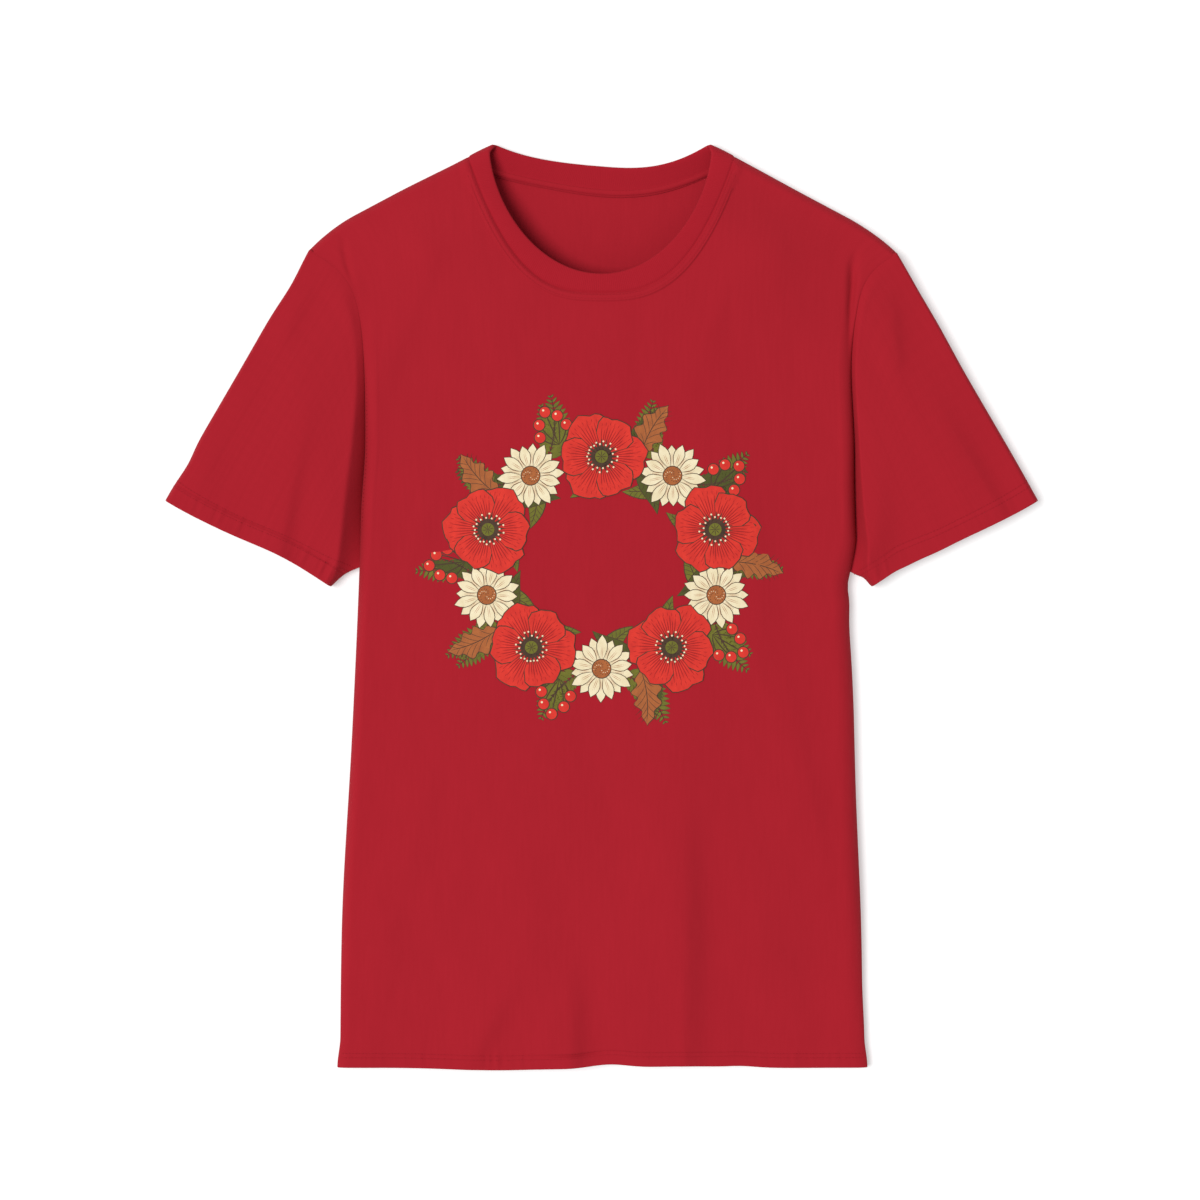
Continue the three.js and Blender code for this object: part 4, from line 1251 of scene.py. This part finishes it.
def armhole_ring(hand):
    """The armhole's row: down under the front's cloth beside the crease and back up over the back
    panel, a fold's width inside the shoulder and the underarm."""
    turn = np.linspace(0, 2 * np.pi, 400)
    down = half_turn(turn)
    line = spline(SIDE, mix(ARMHOLE_TOP_SHARE, UNDERARM_SHARE, mix(*ARMHOLE_SPAN, down)))
    inside = line - INSIDE
    under_front = front_at(hand * inside[:, 0], inside[:, 1]) - UNDER_FRONT
    height = np.where(np.sin(turn) < 0, under_front, OVER_BACK)
    soft = roll(np.minimum(down, 1 - down) * ARMHOLE_LENGTH, ARMHOLE_SOFTENED)
    middle = mix(SHOULDER_SEAM_HEIGHT, SIDE_SEAM_HEIGHT, down)
    return lifted(inside, mix(middle, height, soft)[:, None])


side_path = spline(SIDE, np.linspace(0.004, UNDERARM_SHARE - 0.010, 200)) - INSIDE
under_plan = spline(SLEEVE_UNDER, np.linspace(0.2, 0.97, 40))
under_way = unit(np.gradient(under_plan, axis=0))
under_path = under_plan + INSIDE_FOLD * np.stack([-under_way[:, 1], under_way[:, 0]], -1)
shoulder_x = np.linspace(NECK_POINT[0] + 0.010, SHOULDER_END[0] - 0.008, 90)
shoulder_path = np.stack([shoulder_x, shoulder_line(shoulder_x)], -1) - INSIDE_FOLD * SHOULDER_NORMAL

for side, hand in HANDS.items():
    rows = {
        "side_seam_thread": lifted(side_path, SIDE_SEAM_HEIGHT),
        "underarm_seam_thread": lifted(under_path, SIDE_SEAM_HEIGHT),
        "shoulder_seam_thread": lifted(shoulder_path, SHOULDER_SEAM_HEIGHT),
        "armhole_seam_thread": armhole_ring(hand),
    }
    for name, path in rows.items():
        path = drift(path * np.array([hand, 1.0, 1.0]))
        row = overlock(path, closed=name == "armhole_seam_thread")
        add_thread(f"{side}_{name}_loops", [row], f"{side}_{name}")

row_angles = neck_angles[::4]
row_depth = outside(row_angles) * mix(*NECK_ROW_UNDER, over_front(row_angles))[:, None]
neck_row = beside_seam(row_angles, NECK_ROW_OUT) - row_depth
add_thread("neckband_seam_thread_loops", [overlock(neck_row, closed=True)], "neckband_seam_thread")


# ---------------------------------------------------------------------------------------------------
# Chest print. A wreath of poppies, daisies, ferns and autumn leaves, in seven water-based inks
# that sink into the knit. Every shape is a thin film laid on the cloth, dark outline first and
# colour over it.
PRINT_MIDDLE = np.array([0.0, 0.034])
WREATH_RADII = np.array([0.094, 0.083])
INK_LIFT, INK_STEP = 0.00006, 0.000010
INKS = {
    "line": ((0.040, 0.022, 0.014, 1.0), (0.075, 0.040, 0.024, 1.0)),
    "cream": ((0.79, 0.71, 0.50, 1.0), (0.66, 0.55, 0.34, 1.0)),
    "red": ((0.66, 0.036, 0.022, 1.0), (0.50, 0.022, 0.016, 1.0)),
    "deep_red": ((0.36, 0.012, 0.012, 1.0), (0.26, 0.010, 0.010, 1.0)),
    "olive": ((0.165, 0.160, 0.020, 1.0), (0.105, 0.105, 0.014, 1.0)),
    "moss": ((0.085, 0.090, 0.016, 1.0), (0.055, 0.060, 0.012, 1.0)),
    "rust": ((0.40, 0.125, 0.035, 1.0), (0.28, 0.080, 0.024, 1.0)),
}
OUTLINE, FERN_OUTLINE, PETAL_OUTLINE = 0.0007, 0.0004, 0.0006
FLORETS, GOLDEN_TURN = 46, 2.39996
printed = {ink: [] for ink in INKS}


def lay(ink, level, shape):
    """Lays a flat shape, given about the print's middle, on the front: height of the cloth plus a
    step for each level, so that later films lie over earlier ones."""
    plan = shape + PRINT_MIDDLE
    height = front_at(plan[..., 0], plan[..., 1]) + INK_LIFT + INK_STEP * level
    printed[ink].append((np.concatenate([plan, height[..., None]], -1), plan))


def outlined(ink, level, line, draw, *where, **shape):
    """Lays a shape twice: grown by the line's width in the outline's ink, and over that in its
    own."""
    lay("line", level, draw(*where, grow=line, **shape))
    lay(ink, level + 1, draw(*where, **shape))


def direction(angle):
    """Unit direction in plan at an angle."""
    return np.stack([np.cos(angle), np.sin(angle)], -1)


def aside_of(way):
    """A quarter turn to the left of a direction in plan."""
    return np.stack([-way[..., 1], way[..., 0]], -1)


def turns_of(count):
    """The angles of that many even parts of a turn."""
    return np.arange(count) * 2 * np.pi / count


def blade(
    base, angle, length, width, bow=0.0, full=0.75, rows=9, columns=5, lobes=0, cut=0.0, grow=0.0
):
    """A leaf or narrow petal. Its midrib runs from base along angle with a bow of 4t(1 - t), and
    its half width is width * sin(pi t^full), deepened by lobes. grow widens and lengthens it for an
    outline."""
    way = direction(angle)
    base, length = base - way * grow, length + 2 * grow
    t = np.linspace(0, 1, rows)[:, None]
    rib = base + way * length * t + aside_of(way) * (bow * length * 4 * t * (1 - t))
    course = unit(way * length + aside_of(way) * (bow * length * 4 * (1 - 2 * t)))
    lobe = 1 - cut * (0.5 + 0.5 * np.cos(2 * np.pi * lobes * t)) if lobes else 1
    half_width = (width * lobe + grow) * np.sin(np.pi * t**full)
    across = half_width * np.linspace(1, -1, columns)
    return rib[:, None] + aside_of(course)[:, None] * across[..., None]


def fan(centre, angle, radius, spread, seed, rows=9, columns=13, grow=0.0):
    """A broad petal: a fan about centre that opens to either side of angle by spread. Its edge is
    the radius less 0.14 u^2, with two ruffles; u runs from -1 to 1 across it."""
    u, r = np.meshgrid(np.linspace(1, -1, columns), np.linspace(0, 1, rows))
    ruffle = 0.035 * np.sin(7 * u + seed) + 0.020 * np.sin(13 * u + 2 * seed)
    reach = radius * (1 - 0.14 * u**2 - 0.22 * u**8 + ruffle) + grow
    open_to = angle + (spread + grow / radius) * u * (0.62 + 0.38 * np.sin(np.pi * r / 2))
    return centre + direction(open_to) * (reach * r)[..., None]


def strokes(start, angle, length, width, bow=0.0, rows=5):
    """Tapering pen strokes, any number at once: a bowed line from start, as wide as width at its
    middle."""
    start, way = np.asarray(start)[..., None, :], direction(np.asarray(angle))[..., None, :]
    t = np.linspace(0, 1, rows)[:, None]
    length, bow = np.asarray(length)[..., None, None], np.asarray(bow)[..., None, None]
    line = start + way * length * t + aside_of(way) * length * bow * 4 * t * (1 - t)
    thick = 0.5 * width * (1 - (2 * t - 1) ** 4 * 0.8)
    return np.stack([line + aside_of(way) * thick, line - aside_of(way) * thick], -2)


def dots(centres, radius, steps=3):
    """Round dots, any number at once: a square grid bent into a disc by x = u sqrt(1 - v^2 / 2)."""
    u, v = np.meshgrid(np.linspace(-1, 1, steps), np.linspace(-1, 1, steps))
    disc = np.stack([u * np.sqrt(1 - v * v / 2), v * np.sqrt(1 - u * u / 2)], -1)
    return np.asarray(centres)[..., None, None, :] + disc * radius


def on_rib(base, angle, length, bow, t):
    """Points at shares t along a bowed midrib: on from base, and aside by bow * length * 4t(1 -
    t)."""
    way, aside = direction(angle), (bow * length * 4 * t * (1 - t))[:, None]
    return base + way * (length * t)[:, None] + aside_of(way) * aside


def leaf(base, angle, length, width, level, ink="olive", bow=0.0, **shape):
    """A printed leaf: outline, colour, a midrib and slanting veins that reach nearly to its
    edge."""
    outlined(ink, level, OUTLINE, blade, base, angle, length, width, bow, **shape)
    lay("line", level + 2, strokes(base, angle, 0.94 * length, 0.00065, bow, rows=9))
    t = np.linspace(0.16, 0.78, 6)
    reach = 0.92 * width * np.sin(np.pi * t ** shape.get("full", 0.75)) / np.sin(0.75)
    for turn in (-0.75, 0.75):
        roots = on_rib(base, angle, length, bow, t)
        lay("line", level + 2, strokes(roots, angle + turn, reach, 0.00040, -0.1 * turn))


def fern(base, angle, length, level, bow, ink="olive", pairs=13):
    """A fern frond: a bowed stem with pairs of leaflets that shorten towards its tip."""
    t = np.linspace(0.10, 0.97, pairs)
    stem = on_rib(base, angle, length, bow, t)
    heading = angle + np.arctan(bow * 4 * (1 - 2 * t))
    reach = length * 0.27 * np.sin(np.pi * (0.12 + 0.86 * t) ** 0.8) + 0.0012
    for turn in (-0.95, 0.95):
        for root, way, size in zip(stem, heading, reach):
            outlined(ink, level, FERN_OUTLINE, blade, root, way + turn, size, 0.17 * size,
                     rows=5, columns=3)
    lay("line", level + 2, strokes(base, angle, length, 0.0009, bow, rows=11))


def daisy(centre, radius, level, turn=0.0, petals=18):
    """A daisy: two rings of narrow petals, every second one lying higher, and a domed eye of
    florets."""
    angles = turn + turns_of(petals)
    for k, angle in enumerate(angles):
        length = radius * (1 - 0.05 * (k % 3)) - 0.16 * radius
        base = centre + direction(angle) * 0.16 * radius
        outlined("cream", level + 2 * (k % 2), PETAL_OUTLINE, blade, base, angle, length,
                 0.155 * radius, full=1.35, rows=7, columns=3)
    for shift in (-0.075, 0.075):
        starts = centre + direction(angles + shift) * 0.30 * radius
        lay("rust", level + 4, strokes(starts, angles, 0.38 * radius, 0.00035, rows=3))
    eye = 0.27 * radius
    lay("line", level + 4, dots(centre, eye + OUTLINE, 7))
    lay("rust", level + 5, dots(centre, eye, 7))
    floret = np.arange(1, FLORETS)
    outwards = (0.93 * eye * np.sqrt(floret / FLORETS))[:, None]
    where = centre + direction(floret * GOLDEN_TURN) * outwards
    lay("line", level + 6, dots(where[::2], 0.00036))
    lay("cream", level + 6, dots(where[1::4], 0.00034))


def poppy(centre, radius, level, turn=0.0):
    """A poppy: three petals behind and three before, each ruffled and veined, dark at the heart,
    with a ring of stamens round a rayed green pod."""
    for k in range(6):
        angle = turn + (k % 3) * 2 * np.pi / 3 + (k // 3) * np.pi / 3
        size = radius * (1.0 if k < 3 else 0.90)
        high = level + 3 * k
        outlined("red", high, OUTLINE, fan, centre, angle, size, 0.72, k + turn)
        veins = np.linspace(-0.80, 0.80, 11)
        starts = centre + direction(angle + 0.55 * veins) * 0.20 * size
        length = size * (0.64 - 0.16 * veins**2 - 0.10 * (np.arange(11) % 2))
        vein_lines = strokes(starts, angle + 0.66 * veins, length, 0.00075, 0.05 * veins, rows=6)
        lay("deep_red", high + 2, vein_lines)
        edge = np.linspace(-0.72, 0.72, 9)
        rim = centre + direction(angle + 0.70 * edge) * (size * (0.80 - 0.10 * edge**2))[:, None]
        lay("deep_red", high + 2, strokes(rim, angle + 0.70 * edge, 0.10 * size, 0.0005, rows=3))
    heart = level + 18
    lay("line", heart, strokes(centre, turn + turns_of(20), 0.40 * radius, 0.0016, rows=4))
    lay("line", heart, dots(centre, 0.24 * radius, 7))
    ring = 0.31 * radius * (1 + 0.16 * np.cos(3.0 * np.arange(26)))
    lay("cream", heart + 1, dots(centre + direction(turn + turns_of(26)) * ring[:, None], 0.00075))
    lay("olive", heart + 1, dots(centre, 0.145 * radius, 5))
    lay("line", heart + 2, strokes(centre, turn + turns_of(8), 0.135 * radius, 0.0006, rows=3))


def berries(base, angle, level, radius=0.0042):
    """A sprig of five round berries on bowed stalks, each with a light spot."""
    turns = np.array([-0.75, -0.35, 0.0, 0.38, 0.80])
    reach = np.array([0.017, 0.023, 0.028, 0.022, 0.016])
    lay("line", level, strokes(base, angle + turns, reach, 0.0009, 0.12 * turns))
    where = base + direction(angle + turns) * reach[:, None]
    lay("line", level + 1, dots(where, radius + OUTLINE, 5))
    lay("red", level + 2, dots(where, radius, 5))
    lay("cream", level + 3, dots(where + np.array([-0.0013, 0.0014]), 0.0009))


def on_wreath(angle, out=0.0):
    """A place on the wreath's middle line, an ellipse, or a distance outside it."""
    return WREATH_RADII * direction(angle) + direction(angle) * out


def places_round(count, first):
    """That many even places round the wreath from a first one in degrees, each with its number."""
    return enumerate(np.radians(np.arange(count) * 360 / count + first))


for k, place in places_round(20, 81):
    lean = 0.55 if k % 2 else -0.55
    fern(on_wreath(place, 0.004), place + lean, 0.046 + 0.004 * (k % 3), 0 if k % 2 else 3,
         0.10 * np.sign(lean), "olive" if k % 3 else "moss")
for k, place in places_round(20, 90):
    inward = place + np.pi + (0.75 if k % 2 else -0.75)
    leaf(on_wreath(place, -0.006), inward, 0.036 + 0.003 * (k % 2), 0.0066, 6 + 3 * (k % 2),
         "moss" if k % 2 else "olive", 0.08)
for k, place in places_round(10, 72):
    if k % 2:
        berries(on_wreath(place, 0.014), place + 0.1, 14)
    else:
        leaf(on_wreath(place, 0.006), place - 0.2, 0.044, 0.0125, 12, "rust", 0.06,
             rows=25, columns=7, lobes=4, cut=0.42, full=0.85)
for k, place in places_round(10, 90):
    if k % 2:
        daisy(on_wreath(place, 0.001), 0.0265, 20 + 8 * (k % 4 // 2), 0.1 * k)
    else:
        poppy(on_wreath(place), 0.0350, 40, 0.5 * k)


def ink_material(name, light, dark):
    """Water-based ink in the knit: matt, a little uneven, with the cloth's relief showing
    through."""
    nodes = Nodes(name)
    stipple = nodes.noise(1500, 1100, 3, 0.75)
    patches = nodes.noise(160, 110, 3)
    share = nodes.math("MULTIPLY_ADD", nodes.plus(stipple, patches), 1.7, -1.15)
    nodes.bump(nodes.plus(knit_height(nodes, WALE, COURSE), stipple), 0.00008, 0.35)
    colour = nodes.blend(share, light, dark)
    return nodes.finish(Base_Color=colour, Roughness=0.82, Specular_IOR_Level=0.25)


for ink, shades in INKS.items():
    material = ink_material(f"ink_{ink}", *shades)
    make_piece(f"print_{ink}_ink", printed[ink], material, None)
